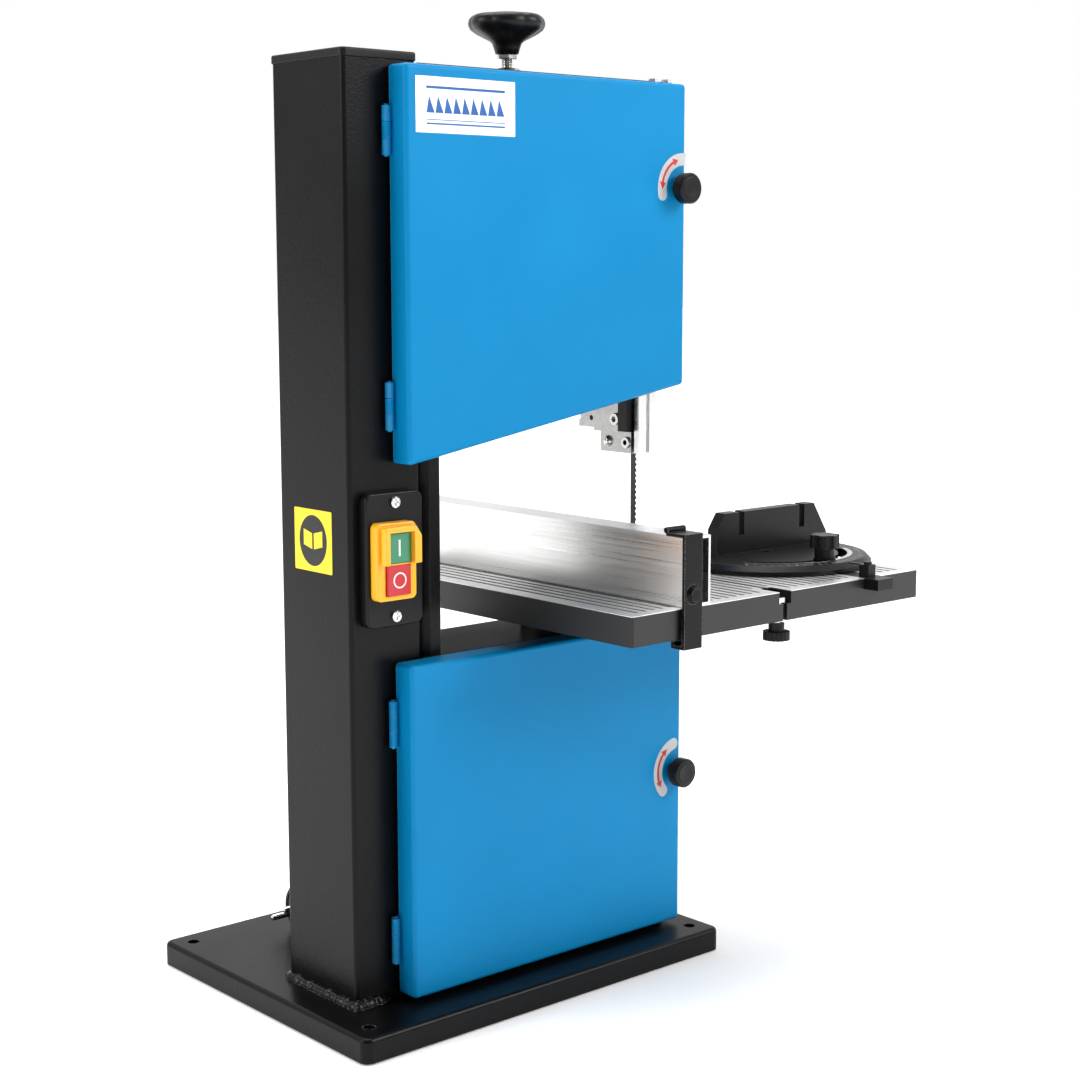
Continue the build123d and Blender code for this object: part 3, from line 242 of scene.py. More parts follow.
def bump(graph: Graph, shader: bpy.types.Node, height: bpy.types.NodeSocket, depth: float) -> None:
    """Feeds a height into the shader's normal.

    Args:
        graph: The material's graph.
        shader: The Principled shader.
        height: The height's socket, from 0 to 1.
        depth: What a height of 1 stands for, in metres.
    """
    node = graph.add("Bump", {"Strength": 1.0, "Distance": depth, "Height": height})
    graph.tree.links.new(node.outputs[0], shader.inputs["Normal"])


def rgba(colour: Colour, factor: float = 1.0) -> tuple[float, float, float, float]:
    """A colour with alpha, made lighter or darker."""
    return tuple(min(1.0, part * factor) for part in colour) + (1.0,)


@dataclass(frozen=True)
class Coat:
    """Sprayed or moulded finish: powder coat, plastic, rubber, or paint on a casting."""

    name: str
    colour: Colour
    roughness: float
    scale: float = 900.0
    depth: float = 0.00004
    hammer: float = 0.5
    variation: float = 0.10
    highlight_colour: Colour | None = None
    coat: float = 0.0
    specular: float = 0.5

    def material(self) -> bpy.types.Material:
        """Makes the material: grain in the normal, blotches in colour and gloss, and a lighter colour on
        sharp edges as painted highlight.
        """
        made, graph, shader = start_material(self.name, {
            "Specular IOR Level": self.specular, "Coat Weight": self.coat, "Coat Roughness": 0.12})
        grain = place_group(graph, GRAIN, {"Scale": self.scale, "Hammer": self.hammer})
        colour = graph.mix(grain.outputs["Blotch"], rgba(self.colour, 1 - self.variation),
                           rgba(self.colour, 1 + self.variation))
        # Lighter colour mixed in along sharp edges is painted highlight.
        if self.highlight_colour:
            edges = place_group(graph, EDGES, {"Radius": 0.0009})
            colour = graph.mix(edges.outputs["Wear"], colour, rgba(self.highlight_colour))
        rough = graph.range(grain.outputs["Blotch"], 0, 1, self.roughness * 0.88, self.roughness * 1.14)
        graph.tree.links.new(colour, shader.inputs["Base Color"])
        graph.tree.links.new(rough, shader.inputs["Roughness"])
        bump(graph, shader, grain.outputs["Height"], self.depth)
        return made


class Brush(Enum):
    """Way that a metal's tool lines run."""

    ALONG_Y = (700.0, 5.0, 700.0)
    NONE = (180.0, 180.0, 180.0)


@dataclass(frozen=True)
class Metal:
    """Bare metal with tool lines."""

    name: str
    colour: Colour
    roughness: float
    brush: Brush = Brush.NONE
    depth: float = 0.000012
    contrast: float = 0.14

    def material(self) -> bpy.types.Material:
        """Makes the material: lines in colour, gloss and normal, with a slow change of tone."""
        made, graph, shader = start_material(self.name, {"Metallic": 1.0})
        across = dict(zip(("Across X", "Across Y", "Across Z"), self.brush.value))
        lines = place_group(graph, LINES, across)
        fine = graph.mix(lines.outputs["Tone"], rgba(self.colour, 1 - self.contrast),
                         rgba(self.colour, 1 + self.contrast))
        colour = graph.mix(graph.range(lines.outputs["Cloud"], 0, 1, 0.0, 0.35), fine,
                           rgba(self.colour, 1 - 1.6 * self.contrast))
        rough = graph.range(lines.outputs["Tone"], 0, 1, self.roughness * 0.8, self.roughness * 1.25)
        graph.tree.links.new(colour, shader.inputs["Base Color"])
        graph.tree.links.new(rough, shader.inputs["Roughness"])
        bump(graph, shader, lines.outputs["Height"], self.depth)
        return made


@dataclass(frozen=True)
class BareAbove:
    """Painted part that is bare bright metal above a given height."""

    name: str
    level: float
    metal: Colour
    paint: Colour
    blend: float = 0.0003

    def material(self) -> bpy.types.Material:
        """Makes the material: bright metal above the level, paint below it."""
        made, graph, shader = start_material(self.name, {})
        place = graph.add("TexCoord").outputs["Object"]
        height = graph.add("SeparateXYZ", {0: place}).outputs[2]
        bare = graph.range(height, self.level - self.blend, self.level, 0.0, 1.0)
        lines = place_group(graph, LINES, {"Across X": 9.0, "Across Y": 520.0, "Across Z": 9.0})
        grain = place_group(graph, GRAIN, {"Scale": 700.0, "Hammer": 0.3})
        bright = graph.mix(lines.outputs["Tone"], rgba(self.metal, 0.86), rgba(self.metal, 1.1))
        dark = graph.mix(grain.outputs["Blotch"], rgba(self.paint, 0.85), rgba(self.paint, 1.2))
        colour = graph.mix(bare, dark, bright)
        rough = graph.range(bare, 0, 1, 0.42, 0.36)
        tall = graph.add("Mix", {0: bare, 2: grain.outputs["Height"], 3: lines.outputs["Height"]})
        graph.tree.links.new(colour, shader.inputs["Base Color"])
        graph.tree.links.new(rough, shader.inputs["Roughness"])
        graph.tree.links.new(bare, shader.inputs["Metallic"])
        bump(graph, shader, tall.outputs[0], 0.00003)
        return made


class Look(Enum):
    """Every finish on the saw, each with the record's slot that it belongs to."""

    BLUE = "blue_coat"
    BLACK = "black_coat"
    PLASTIC = "black_plastic"
    YELLOW = "yellow_plastic"
    GREEN = "green_plastic"
    RED = "red_plastic"
    STEEL = "machined_steel"
    ZINC = "bright_fastener"
    BLADE = "blade_steel"
    SPRING = "spring_steel"
    TABLE = "cast_table"
    ALUMINIUM = "brushed_aluminium"
    WHEEL = "cast_wheel"
    RUBBER = "tyre_rubber"
    CASTING = "black_cast"
    MOTOR = "motor_grey"
    CORD = "cord_rubber"


def finishes() -> dict[Look, bpy.types.Material]:
    """Makes every slot's material once."""
    table_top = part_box("table")[1].z
    grey = (0.33, 0.33, 0.34)
    made = {
        # In each Coat below, a second colour after the variation is the lighter edge colour: painted
        # highlight.
        Look.BLUE: Coat("blue_powder_coat", (0.0, 0.225, 0.50), 0.40, 620.0, 0.00003, 0.35, 0.05,
                        (0.25, 0.55, 0.80), specular=0.14),
        Look.BLACK: Coat("black_powder_coat", (0.0025, 0.0025, 0.0028), 0.33, 520.0, 0.00010, 0.75, 0.15,
                         (0.30, 0.30, 0.30), specular=0.16),
        Look.PLASTIC: Coat("black_plastic", (0.004, 0.004, 0.0045), 0.36, 1500.0, 0.00002, 0.2, 0.12,
                           specular=0.24),
        Look.YELLOW: Coat("yellow_plastic", (1.0, 0.46, 0.012), 0.33, 1600.0, 0.00001, 0.2, 0.04, coat=0.2),
        Look.GREEN: Coat("green_plastic", (0.035, 0.25, 0.13), 0.35, 1600.0, 0.00001, 0.2, 0.05, coat=0.2),
        Look.RED: Coat("red_plastic", (0.55, 0.014, 0.022), 0.35, 1600.0, 0.00001, 0.2, 0.05, coat=0.2),
        Look.STEEL: Metal("machined_steel", (0.45, 0.45, 0.44), 0.30, Brush.NONE, 0.00002, 0.2),
        Look.ZINC: Metal("zinc_plate", (0.62, 0.62, 0.60), 0.22, Brush.NONE, 0.00001, 0.12),
        Look.BLADE: Metal("blade_steel", (0.075, 0.075, 0.08), 0.42, Brush.NONE, 0.00001, 0.25),
        Look.SPRING: Metal("spring_wire", (0.2, 0.2, 0.21), 0.3),
        Look.TABLE: BareAbove("machined_table", table_top - 0.0003, (0.86, 0.86, 0.85),
                              (0.004, 0.004, 0.004)),
        Look.ALUMINIUM: Metal("brushed_aluminium", (0.74, 0.74, 0.735), 0.30, Brush.ALONG_Y, 0.000003, 0.05),
        Look.WHEEL: Coat("cast_wheel", grey, 0.45, 400.0, 0.0001, 0.3, 0.12, (0.6, 0.6, 0.6)),
        Look.RUBBER: Coat("rubber", (0.015, 0.015, 0.015), 0.75, 1300.0, 0.00006, 0.1, 0.2),
        Look.CASTING: Coat("painted_casting", (0.004, 0.004, 0.0045), 0.36, 480.0, 0.00006, 0.45, 0.2,
                           (0.05, 0.05, 0.05), specular=0.24),
        Look.MOTOR: Coat("motor_paint", (0.09, 0.095, 0.10), 0.45, 500.0, 0.00009, 0.4, 0.15,
                         (0.3, 0.3, 0.3)),
        Look.CORD: Coat("cord_sheath", (0.012, 0.012, 0.012), 0.55, 1400.0, 0.00003, 0.1, 0.15),
    }
    return {look: finish.material() for look, finish in made.items()}


LOOKS = finishes()
FITTINGS = BareAbove("door_fittings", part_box("upper_door")[1].z + 0.0008, (0.62, 0.62, 0.60),
                     (0.0, 0.225, 0.50)).material()
SILVER_LABEL = Metal("label_foil", (0.72, 0.74, 0.76), 0.45, Brush.NONE, 0.00001, 0.08).material()
WHITE_INK, GREY_LABEL, RED_INK, BLUE_INK, STICKER_YELLOW, BLACK_INK = (
    Coat(name, colour, roughness, 1500.0, 0.000005, 0.1, variation).material()
    for name, colour, roughness, variation in (
        ("white_ink", (0.80, 0.80, 0.80), 0.5, 0.04), ("grey_label", (0.52, 0.53, 0.54), 0.45, 0.05),
        ("red_ink", (0.55, 0.02, 0.02), 0.5, 0.05), ("blue_ink", (0.005, 0.10, 0.36), 0.5, 0.05),
        ("sticker_yellow", (1.0, 0.72, 0.01), 0.4, 0.03), ("black_ink", (0.01, 0.01, 0.01), 0.5, 0.1)))


# ---------------------------------------------------------------- meshes
@dataclass
class Shell:
    """Vertices and faces of a mesh that is being put together, in metres."""

    points: list[Point] = field(default_factory=list)
    faces: list[tuple[int, ...]] = field(default_factory=list)

    def add(self, points: Sequence[Point], faces: Sequence[tuple[int, ...]], place: Matrix) -> "Shell":
        """Adds a part at a place.

        Args:
            points: The part's own vertices.
            faces: Its faces, counted from its own first vertex.
            place: Where it goes.

        Returns:
            The same shell.
        """
        start = len(self.points)
        self.points += [tuple(place @ Vector(point)) for point in points]
        self.faces += [tuple(start + corner for corner in face) for face in faces]
        return self

    def lathe(self, profile: Outline, place: Matrix, steps: int = 48,
              ripple: Callable[[float, float], float] | None = None) -> "Shell":
        """Turns a profile about the local Z axis.

        Args:
            profile: Radius and height of each point, from one end to the other.
            place: Where the turned part goes.
            steps: Sides of the turned part.
            ripple: Gives a factor for the radius, from the angle and the radius.

        Returns:
            The same shell.
        """
        points, faces = [], []
        for radius, height in profile:
            for step in range(steps):
                angle = 2 * math.pi * step / steps
                reach = radius * (ripple(angle, radius) if ripple else 1.0)
                points.append((reach * math.cos(angle), reach * math.sin(angle), height))
        for row in range(len(profile) - 1):
            for step in range(steps):
                after = (step + 1) % steps
                low, high = row * steps, (row + 1) * steps
                faces.append((low + step, low + after, high + after, high + step))
        last = (len(profile) - 1) * steps
        faces.append(tuple(reversed(range(steps))))
        faces.append(tuple(last + step for step in range(steps)))
        return self.add(points, faces, place)

    def plate(self, outline: Outline, low: float, high: float, place: Matrix) -> "Shell":
        """Thickens a flat outline along the local Z axis.

        Args:
            outline: Its corners, counter-clockwise.
            low: Height of the lower face.
            high: Height of the upper face.
            place: Where it goes.

        Returns:
            The same shell.
        """
        count = len(outline)
        points = [(x, y, low) for x, y in outline] + [(x, y, high) for x, y in outline]
        faces = [tuple(reversed(range(count))), tuple(range(count, 2 * count))]
        faces += [(i, (i + 1) % count, count + (i + 1) % count, count + i) for i in range(count)]
        return self.add(points, faces, place)

    def piece(self, name: str, body: str, look: Look, material: bpy.types.Material | None = None,
              smooth: float = 35.0) -> bpy.types.Object:
        """Makes the object, dresses it and lets it ride on a body.

        Args:
            name: The piece's name.
            body: The CAD body that it moves with.
            look: The finish whose material it takes when it has no material of its own.
            material: A material of its own, or None for the slot's.
            smooth: Edges sharper than this angle in degrees stay sharp.

        Returns:
            The object.
        """
        mesh = bpy.data.meshes.new(name)
        mesh.from_pydata(self.points, [], self.faces)
        mesh.validate()
        mesh.shade_smooth()
        mesh.set_sharp_from_angle(angle=math.radians(smooth))
        made = bpy.data.objects.new(name, mesh)
        bpy.context.scene.collection.objects.link(made)
        mesh.materials.append(material or LOOKS[look])
        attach(made, body)
        LOG.info("made %s on %s", name, body)
        return made


def aim(origin: Point, axis: Point) -> Matrix:
    """A place whose local Z axis points along an axis."""
    turn = Vector(axis).to_track_quat("Z", "Y")
    return Matrix.Translation(Vector(origin)) @ turn.to_matrix().to_4x4()


def front_plane(y: float) -> Matrix:
    """A place whose local X is +X, local Y is +Z and local Z is -Y, for what lies on a front face."""
    turn = Matrix(((1, 0, 0, 0), (0, 0, -1, 0), (0, 1, 0, 0), (0, 0, 0, 1)))
    return Matrix.Translation((0, y, 0)) @ turn


def left_plane(x: float) -> Matrix:
    """A place whose local X is -Y, local Y is +Z and local Z is -X, for what lies on the left face."""
    turn = Matrix(((0, 0, -1, 0), (-1, 0, 0, 0), (0, 1, 0, 0), (0, 0, 0, 1)))
    return Matrix.Translation((x, 0, 0)) @ turn


def in_mm(profile: Outline) -> list[Spot]:
    """A profile given in millimetres, in metres."""
    return [(across * MM, along * MM) for across, along in profile]


def middle_of(node: str) -> Vector:
    """Middle of a CAD node's box at rest."""
    low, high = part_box(node)
    return (low + high) / 2


def on_circle(x: float, y: float, radius: float, angle: float) -> Spot:
    """Point of a circle, from its centre, radius and angle in radians."""
    return x + radius * math.cos(angle), y + radius * math.sin(angle)


def rounded(x0: float, x1: float, y0: float, y1: float, radius: float, steps: int = 5) -> list[Spot]:
    """Outline of a rectangle with round corners.

    Args:
        x0: Left side.
        x1: Right side.
        y0: Lower side.
        y1: Upper side.
        radius: The corners' radius.
        steps: Sides of each corner.

    Returns:
        The outline, counter-clockwise.
    """
    corners = ((x1 - radius, y1 - radius), (x0 + radius, y1 - radius), (x0 + radius, y0 + radius),
               (x1 - radius, y0 + radius))
    outline = []
    for quarter, (x, y) in enumerate(corners):
        for step in range(steps + 1):
            outline.append(on_circle(x, y, radius, math.pi / 2 * (quarter + step / steps)))
    return outline


def disc(x: float, y: float, radius: float, steps: int = 40, squash: float = 1.0) -> list[Spot]:
    """Outline of a circle, or of an upright ellipse where squash is under 1."""
    turns = [2 * math.pi * step / steps for step in range(steps)]
    return [(x + radius * squash * math.cos(a), y + radius * math.sin(a)) for a in turns]


def arc_band(x: float, y: float, inner: float, outer: float, first: float, last: float, steps: int = 24,
             round_start: bool = False, round_end: bool = False) -> list[Spot]:
    """Outline of a ring segment.

    Args:
        x: Centre.
        y: Centre.
        inner: Inner radius.
        outer: Outer radius.
        first: Start angle in degrees.
        last: End angle in degrees.
        steps: Sides along the arc.
        round_start: Puts a half circle on its start.
        round_end: Puts a half circle on its end.

    Returns:
        The outline, counter-clockwise.
    """
    angles = [math.radians(first + (last - first) * step / steps) for step in range(steps + 1)]
    out = [on_circle(x, y, outer, angle) for angle in angles]
    back = [on_circle(x, y, inner, angle) for angle in reversed(angles)]
    middle, half = (inner + outer) / 2, (outer - inner) / 2
    turns = [math.pi * step / CAP_SIDES for step in range(1, CAP_SIDES)]
    start, end = on_circle(x, y, middle, angles[0]), on_circle(x, y, middle, angles[-1])
    end_cap = [on_circle(*end, half, angles[-1] + turn) for turn in turns]
    start_cap = [on_circle(*start, -half, angles[0] + turn) for turn in turns]
    return out + (end_cap if round_end else []) + back + (start_cap if round_start else [])


def ease(value: float) -> float:
    """Smooth step from 0 to 1."""
    clipped = max(0.0, min(1.0, value))
    return clipped * clipped * (3 - 2 * clipped)


# ---------------------------------------------------------------- sub-assemblies
@dataclass
class SubAssembly:
    """A part of the saw that dresses its CAD nodes and builds the pieces that go on them."""

    soften: float = 0.0004

    def nodes(self) -> dict[str, Look]:
        """CAD nodes that stay in sight, with their finishes."""
        return {}

    def build(self) -> None:
        """Builds the pieces that the CAD model doesn't hold."""

    def dress(self) -> None:
        """Gives every carried-over CAD node its finish and softly broken edges."""
        for name, look in self.nodes().items():
            node = frame["nodes"][name]
            node.data.materials.clear()
            node.data.materials.append(LOOKS[look])
            if self.soften:
                weld = node.modifiers.new("join", "WELD")
                weld.merge_threshold = WELD_DISTANCE
                edge = node.modifiers.new("edge", "BEVEL")
                edge.width, edge.segments = self.soften, 2
                edge.limit_method, edge.angle_limit = "ANGLE", SOFTEN_ABOVE
                even = node.modifiers.new("even", "WEIGHTED_NORMAL")
                even.weight = EVEN_WEIGHT
            LOG.info("dressed %s as %s", name, look.value)


@dataclass
class Foot(SubAssembly):
    """Sheet base, its pads and the weld round the column's foot."""

    bead_radius: float = 5.2 * MM
    bead_sides: int = 12
    bead_step: float = 1.6 * MM
    door_gap: float = 30 * MM

    def nodes(self) -> dict[str, Look]:
        """Base and pads."""
        return {"base_plate": Look.BLACK, "base_pads": Look.RUBBER}

    def build(self) -> None:
        """Lays an uneven weld bead along the column's front, left side and back."""
        low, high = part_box("column")
        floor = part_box("base_plate")[1].z
        corners = [Vector((low.x + self.door_gap, low.y, floor)), Vector((low.x, low.y, floor)),
                   Vector((low.x, high.y, floor)), Vector((high.x, high.y, floor))]
        spine: list[Vector] = []
        for start, end in zip(corners, corners[1:]):
            count = max(2, int((end - start).length / self.bead_step))
            spine += [start.lerp(end, step / count) for step in range(count)]
        spine.append(corners[-1])
        points, faces = [], []
        for index, middle in enumerate(spine):
            before, after = spine[max(index - 1, 0)], spine[min(index + 1, len(spine) - 1)]
            along = (after - before).normalized()
            side = along.cross(Vector((0, 0, 1)))
            fade = min(1.0, index / 6, (len(spine) - 1 - index) / 6) * 0.9 + 0.1
            ripple = 0.85 + 0.08 * math.sin(index * 1.9) + 0.22 * noise.noise(middle * 160)
            for turn in range(self.bead_sides):
                angle = 2 * math.pi * turn / self.bead_sides
                rough = 1 + 0.09 * noise.noise(middle * 300 + Vector((turn, 0, 3)))
                reach = self.bead_radius * ripple * rough * fade
                offset = side * math.cos(angle) + Vector((0, 0, 1)) * max(0.0, math.sin(angle)) * 1.15
                points.append(tuple(middle + offset * reach))
        sides = self.bead_sides
        for row in range(len(spine) - 1):
            for turn in range(sides):
                after = (turn + 1) % sides
                faces.append((row * sides + turn, row * sides + after, (row + 1) * sides + after,
                              (row + 1) * sides + turn))
        Shell().add(points, faces, Matrix.Identity(4)).piece("foot_weld", "frame", Look.BLACK, smooth=70)


@dataclass
class Post(SubAssembly):
    """Column with its cap, the return-blade guard and the plain sticker on its side."""

    sticker_front: float = 20.2 * MM
    sticker_width: float = 44 * MM
    sticker_low: float = 320 * MM
    sticker_height: float = 43 * MM
    disc_share: float = 0.41
    disc_squash: float = 0.92
    film: float = 0.15 * MM

    def nodes(self) -> dict[str, Look]:
        """Column, cap, guard and both housings."""
        return {"column": Look.BLACK, "column_cap": Look.PLASTIC, "return_blade_guard": Look.BLACK,
                "upper_housing": Look.BLACK, "lower_housing": Look.BLACK, "frame_hinge_leaves": Look.BLUE,
                "frame_screws": Look.ZINC}

    def build(self) -> None:
        """Lays a yellow sticker with a black disc and a plain open book on the column's left face."""
        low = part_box("column")[0]
        left = -(low.y + self.sticker_front) - self.sticker_width
        x0, x1 = left, left + self.sticker_width
        z0, z1 = self.sticker_low, self.sticker_low + self.sticker_height
        face = left_plane(low.x)
        Shell().plate(rounded(x0, x1, z0, z1, 1 * MM), 0, self.film, face).piece(
            "column_sticker", "frame", Look.YELLOW, STICKER_YELLOW)
        x, z = (x0 + x1) / 2, (z0 + z1) / 2
        spot = disc(x, z, self.disc_share * self.sticker_height, squash=self.disc_squash)
        Shell().plate(spot, self.film, 1.4 * self.film, face).piece(
            "sticker_disc", "frame", Look.BLACK, BLACK_INK)
        book = Shell()
        for side in (-1, 1):
            page = [(side * 1.0 * MM, -6 * MM), (side * 11 * MM, -3.6 * MM), (side * 11 * MM, 7.4 * MM),
                    (side * 1.0 * MM, 5 * MM)]
            outline = [(x + across, z + up) for across, up in page]
            book.plate(outline if side > 0 else outline[::-1], 1.4 * self.film, 1.8 * self.film, face)
        book.piece("sticker_book", "frame", Look.YELLOW, STICKER_YELLOW)


@dataclass
class Door(SubAssembly):
    """One blue door with its hinge leaves, latch and turning label."""

    name: str = "upper_door"
    fittings: str = "upper_door_fittings"
    latch: str = "upper_door_latch"
    latch_body: str = "upper_latch"
    arc_first: float = 84.0
    arc_last: float = 192.0
    arc_inner: float = 17.0 * MM
    arc_outer: float = 26.0 * MM
    arc_shift: float = 5.0 * MM
    arrow_start: float = 34.0
    arrow_end: float = 24.0
    arrow_tip: float = 14.0
    arrow_half: float = 3 * MM
    round_start: bool = False
    film: float = 0.15 * MM
    soften: float = 0.0

    def nodes(self) -> dict[str, Look]:
        """Door, leaves and latch."""
        return {self.name: Look.BLUE, self.fittings: Look.BLUE, self.latch: Look.PLASTIC}

    def dress(self) -> None:
        """Dresses the door, and gives the upper door's bolts their bare metal."""
        super().dress()
        if self.name == "upper_door":
            frame["nodes"][self.fittings].data.materials[0] = FITTINGS

    def build(self) -> None:
        """Lays the label round the latch: a grey band with a red double arrow."""
        knob = middle_of(self.latch)
        x, z = knob.x + self.arc_shift, knob.z
        face = front_plane(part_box(self.name)[0].y)
        band = arc_band(x, z, self.arc_inner, self.arc_outer, self.arc_first, self.arc_last,
                        round_start=self.round_start, round_end=True)
        Shell().plate(band, 0, self.film, face).piece(
            self.name + "_turn_label", self.name, Look.BLUE, GREY_LABEL)
        middle = (self.arc_inner + self.arc_outer) / 2
        first, last = self.arc_first + self.arrow_start, self.arc_last - self.arrow_end
        arrow = Shell().plate(arc_band(x, z, middle - 1 * MM, middle + 1 * MM, first, last), self.film,
                              1.4 * self.film, face)
        for angle, way in ((first, -1), (last, 1)):
            tip, root = math.radians(angle + way * self.arrow_tip), math.radians(angle)
            ends = ((tip, middle), (root, middle + self.arrow_half), (root, middle - self.arrow_half))
            outline = [on_circle(x, z, reach, turn) for turn, reach in ends]
            arrow.plate(outline if way > 0 else outline[::-1], self.film, 1.4 * self.film, face)
        arrow.piece(self.name + "_turn_arrow", self.name, Look.BLUE, RED_INK)
        dish = in_mm([(8.2, 0.0), (8.2, 0.25), (7.4, 0.45), (6.2, 0.25), (0.6, 0.1)])
        Shell().lathe(dish, aim((knob.x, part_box(self.latch)[0].y, z), (0, -1, 0))).piece(
            self.latch + "_rim", self.latch_body, Look.PLASTIC)


@dataclass
class BadgePlate(SubAssembly):
    """Foil plate on the upper door, with plain stripes and a row of saw teeth."""

    left: float = 7.9 * MM
    width: float = 85.6 * MM
    drop: float = 7.9 * MM
    height: float = 36.5 * MM
    film: float = 0.2 * MM
    teeth: int = 9
    tooth_foot: float = 13 * MM
    tooth_tip: float = 24 * MM
    edge: float = 9 * MM
    line: float = 1.1 * MM

    def build(self) -> None:
        """Lays the plate and its print on the door."""
        low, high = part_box("upper_door")
        x0, x1 = low.x + self.left, low.x + self.left + self.width
        z1 = high.z - self.drop
        z0 = z1 - self.height
        face = front_plane(low.y)
        Shell().plate(rounded(x0, x1, z0, z1, 0.6 * MM), 0, self.film, face).piece(
            "door_plate", "upper_door", Look.BLUE, SILVER_LABEL)
        ink = Shell()
        edge, line, over = self.edge, self.line, 1.25 * self.film
        for z, thick in ((z1 - 7 * MM, 1.6 * line), (z0 + 6 * MM, line), (z0 + 8.6 * MM, 0.5 * line)):
            stripe = rounded(x0 + edge, x1 - edge, z - thick / 2, z + thick / 2, 0.2 * MM)
            ink.plate(stripe, self.film, over, face)
        pitch = (x1 - x0 - 2 * edge) / self.teeth
        for tooth in range(self.teeth):
            left = x0 + edge + tooth * pitch
            foot = z0 + self.tooth_foot
            outline = [(left, foot), (left + pitch * 0.92, foot), (left + pitch * 0.3, z0 + self.tooth_tip)]
            ink.plate(outline, self.film, over, face)
        ink.piece("door_plate_print", "upper_door", Look.BLUE, BLUE_INK)


@dataclass
class Switch(SubAssembly):
    """Switch box, its yellow bezel with a raised hood, and the two buttons."""

    hood_stand: float = 6.5 * MM
    hood_wall: float = 3.8 * MM
    bar_gap: float = 0.1 * MM
    bar_stand: float = 2.6 * MM
    mark: float = 0.12 * MM

    def nodes(self) -> dict[str, Look]:
        """Box, bezel and buttons."""
        return {"switch_box": Look.PLASTIC, "switch_bezel": Look.YELLOW, "on_button": Look.GREEN,
                "off_button": Look.RED}

    def build(self) -> None:
        """Raises the hood round the upper button and prints both buttons' marks."""
        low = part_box("switch_bezel")[0]
        on_low, on_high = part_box("on_button")
        off_low, off_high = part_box("off_button")
        face = front_plane(low.y)
        gap = 0.5 * MM
        wall = self.hood_wall
        left, right, top = on_low.x - gap, on_high.x + gap, on_high.z + gap
        foot = on_low.z - gap
        hood = Shell()
        outer = [(left - wall, foot), (left, foot), (left, top), (right, top), (right, foot),
                 (right + wall + 2 * MM, foot), (right + wall + 2 * MM, top - 3 * MM),
                 (right + wall - 2.5 * MM, top + wall), (left - wall + 1 * MM, top + wall),
                 (left - wall, top + wall - 1 * MM)]
        hood.plate(outer, -1 * MM, self.hood_stand, face)
        bar_low, bar_high = off_high.z + self.bar_gap, on_low.z - self.bar_gap
        hood.plate([(left, bar_low), (right, bar_low), (right, bar_high), (left, bar_high)], -1 * MM,
                   self.bar_stand, face)
        made = hood.piece("switch_hood", "frame", Look.YELLOW)
        edge = made.modifiers.new("edge", "BEVEL")
        edge.width, edge.segments = 0.7 * MM, 3
        edge.limit_method = "ANGLE"
        on_x, _, on_z = middle_of("on_button")
        bar = rounded(on_x - 0.8 * MM, on_x + 0.8 * MM, on_z - 5.6 * MM, on_z + 5.6 * MM, 0.3 * MM)
        Shell().plate(bar, 0, self.mark, front_plane(on_low.y)).piece(
            "on_mark", "on_button", Look.GREEN, WHITE_INK)
        off_x, _, off_z = middle_of("off_button")
        ring = Shell()
        for first in (0, 180):
            ring.plate(arc_band(off_x, off_z, 4.4 * MM, 5.5 * MM, first, first + 180), 0, self.mark,
                       front_plane(off_low.y))
        ring.piece("off_mark", "off_button", Look.RED, WHITE_INK)


@dataclass
class BladeAndWheels(SubAssembly):
    """Both wheels, their tyres and the toothed blade."""

    soften: float = 0.0
    pitch: float = 4.2 * MM
    gullet: float = 1.6 * MM
    thickness: float = BLADE_THICKNESS
    samples: int = 4
    depths: tuple[float, ...] = (0.0, 0.62, 1.0, 0.55)

    def nodes(self) -> dict[str, Look]:
        """Wheels, tyres, bearings and shaft."""
        return {"upper_wheel": Look.WHEEL, "upper_tyre": Look.RUBBER, "upper_bearings": Look.STEEL,
                "lower_wheel": Look.WHEEL, "lower_tyre": Look.RUBBER, "motor_shaft": Look.STEEL}

    def build(self) -> None:
        """Lays the blade's band round both wheels, with hooked teeth on its front edge."""
        low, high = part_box("saw_blade")
        radius = (high.x - low.x) / 2
        middle = (low.x + high.x) / 2
        bottom, top = low.z + radius, high.z - radius
        straight = top - bottom
        length = 2 * straight + 2 * math.pi * (radius - self.thickness / 2)
        count = round(length / self.pitch) * self.samples
        points, faces = [], []
        for index in range(count):
            along = length * index / count
            x, z, outward = self.place(along, straight, radius - self.thickness / 2, middle, bottom, top)
            cut = self.gullet * self.depths[index % self.samples]
            for reach in (-self.thickness / 2, self.thickness / 2):
                spot = Vector((x, 0, z)) + outward * reach
                points += [(spot.x, low.y + cut, spot.z), (spot.x, high.y, spot.z)]
        for index in range(count):
            here, there = 4 * index, 4 * ((index + 1) % count)
            for a, b in ((0, 1), (1, 3), (3, 2), (2, 0)):
                faces.append((here + a, here + b, there + b, there + a))
        made = Shell().add(points, faces, Matrix.Identity(4)).piece(
            "toothed_blade", "frame", Look.BLADE, smooth=20)
        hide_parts("saw_blade")

    def place(self, along: float, straight: float, radius: float, middle: float, bottom: float,
              top: float) -> tuple[float, float, Vector]:
        """Where a point of the blade's loop lies.

        Args:
            along: Distance along the loop, from the top of the cutting run downwards.
            straight: Length of each straight run.
            radius: Radius of the loop's middle line.
            middle: X of both axes.
            bottom: Height of the lower axis.
            top: Height of the upper axis.

        Returns:
            X, Z and the outward direction.
        """
        half = math.pi * radius
        if along < straight:
            return middle + radius, top - along, Vector((1, 0, 0))
        along -= straight
        if along < half:
            turn = -along / radius
            out = Vector((math.cos(turn), 0, math.sin(turn)))
            return middle + radius * out.x, bottom + radius * out.z, out
        along -= half
        if along < straight:
            return middle - radius, bottom + along, Vector((-1, 0, 0))
        turn = math.pi - (along - straight) / radius
        out = Vector((math.cos(turn), 0, math.sin(turn)))
        return middle + radius * out.x, top + radius * out.z, out


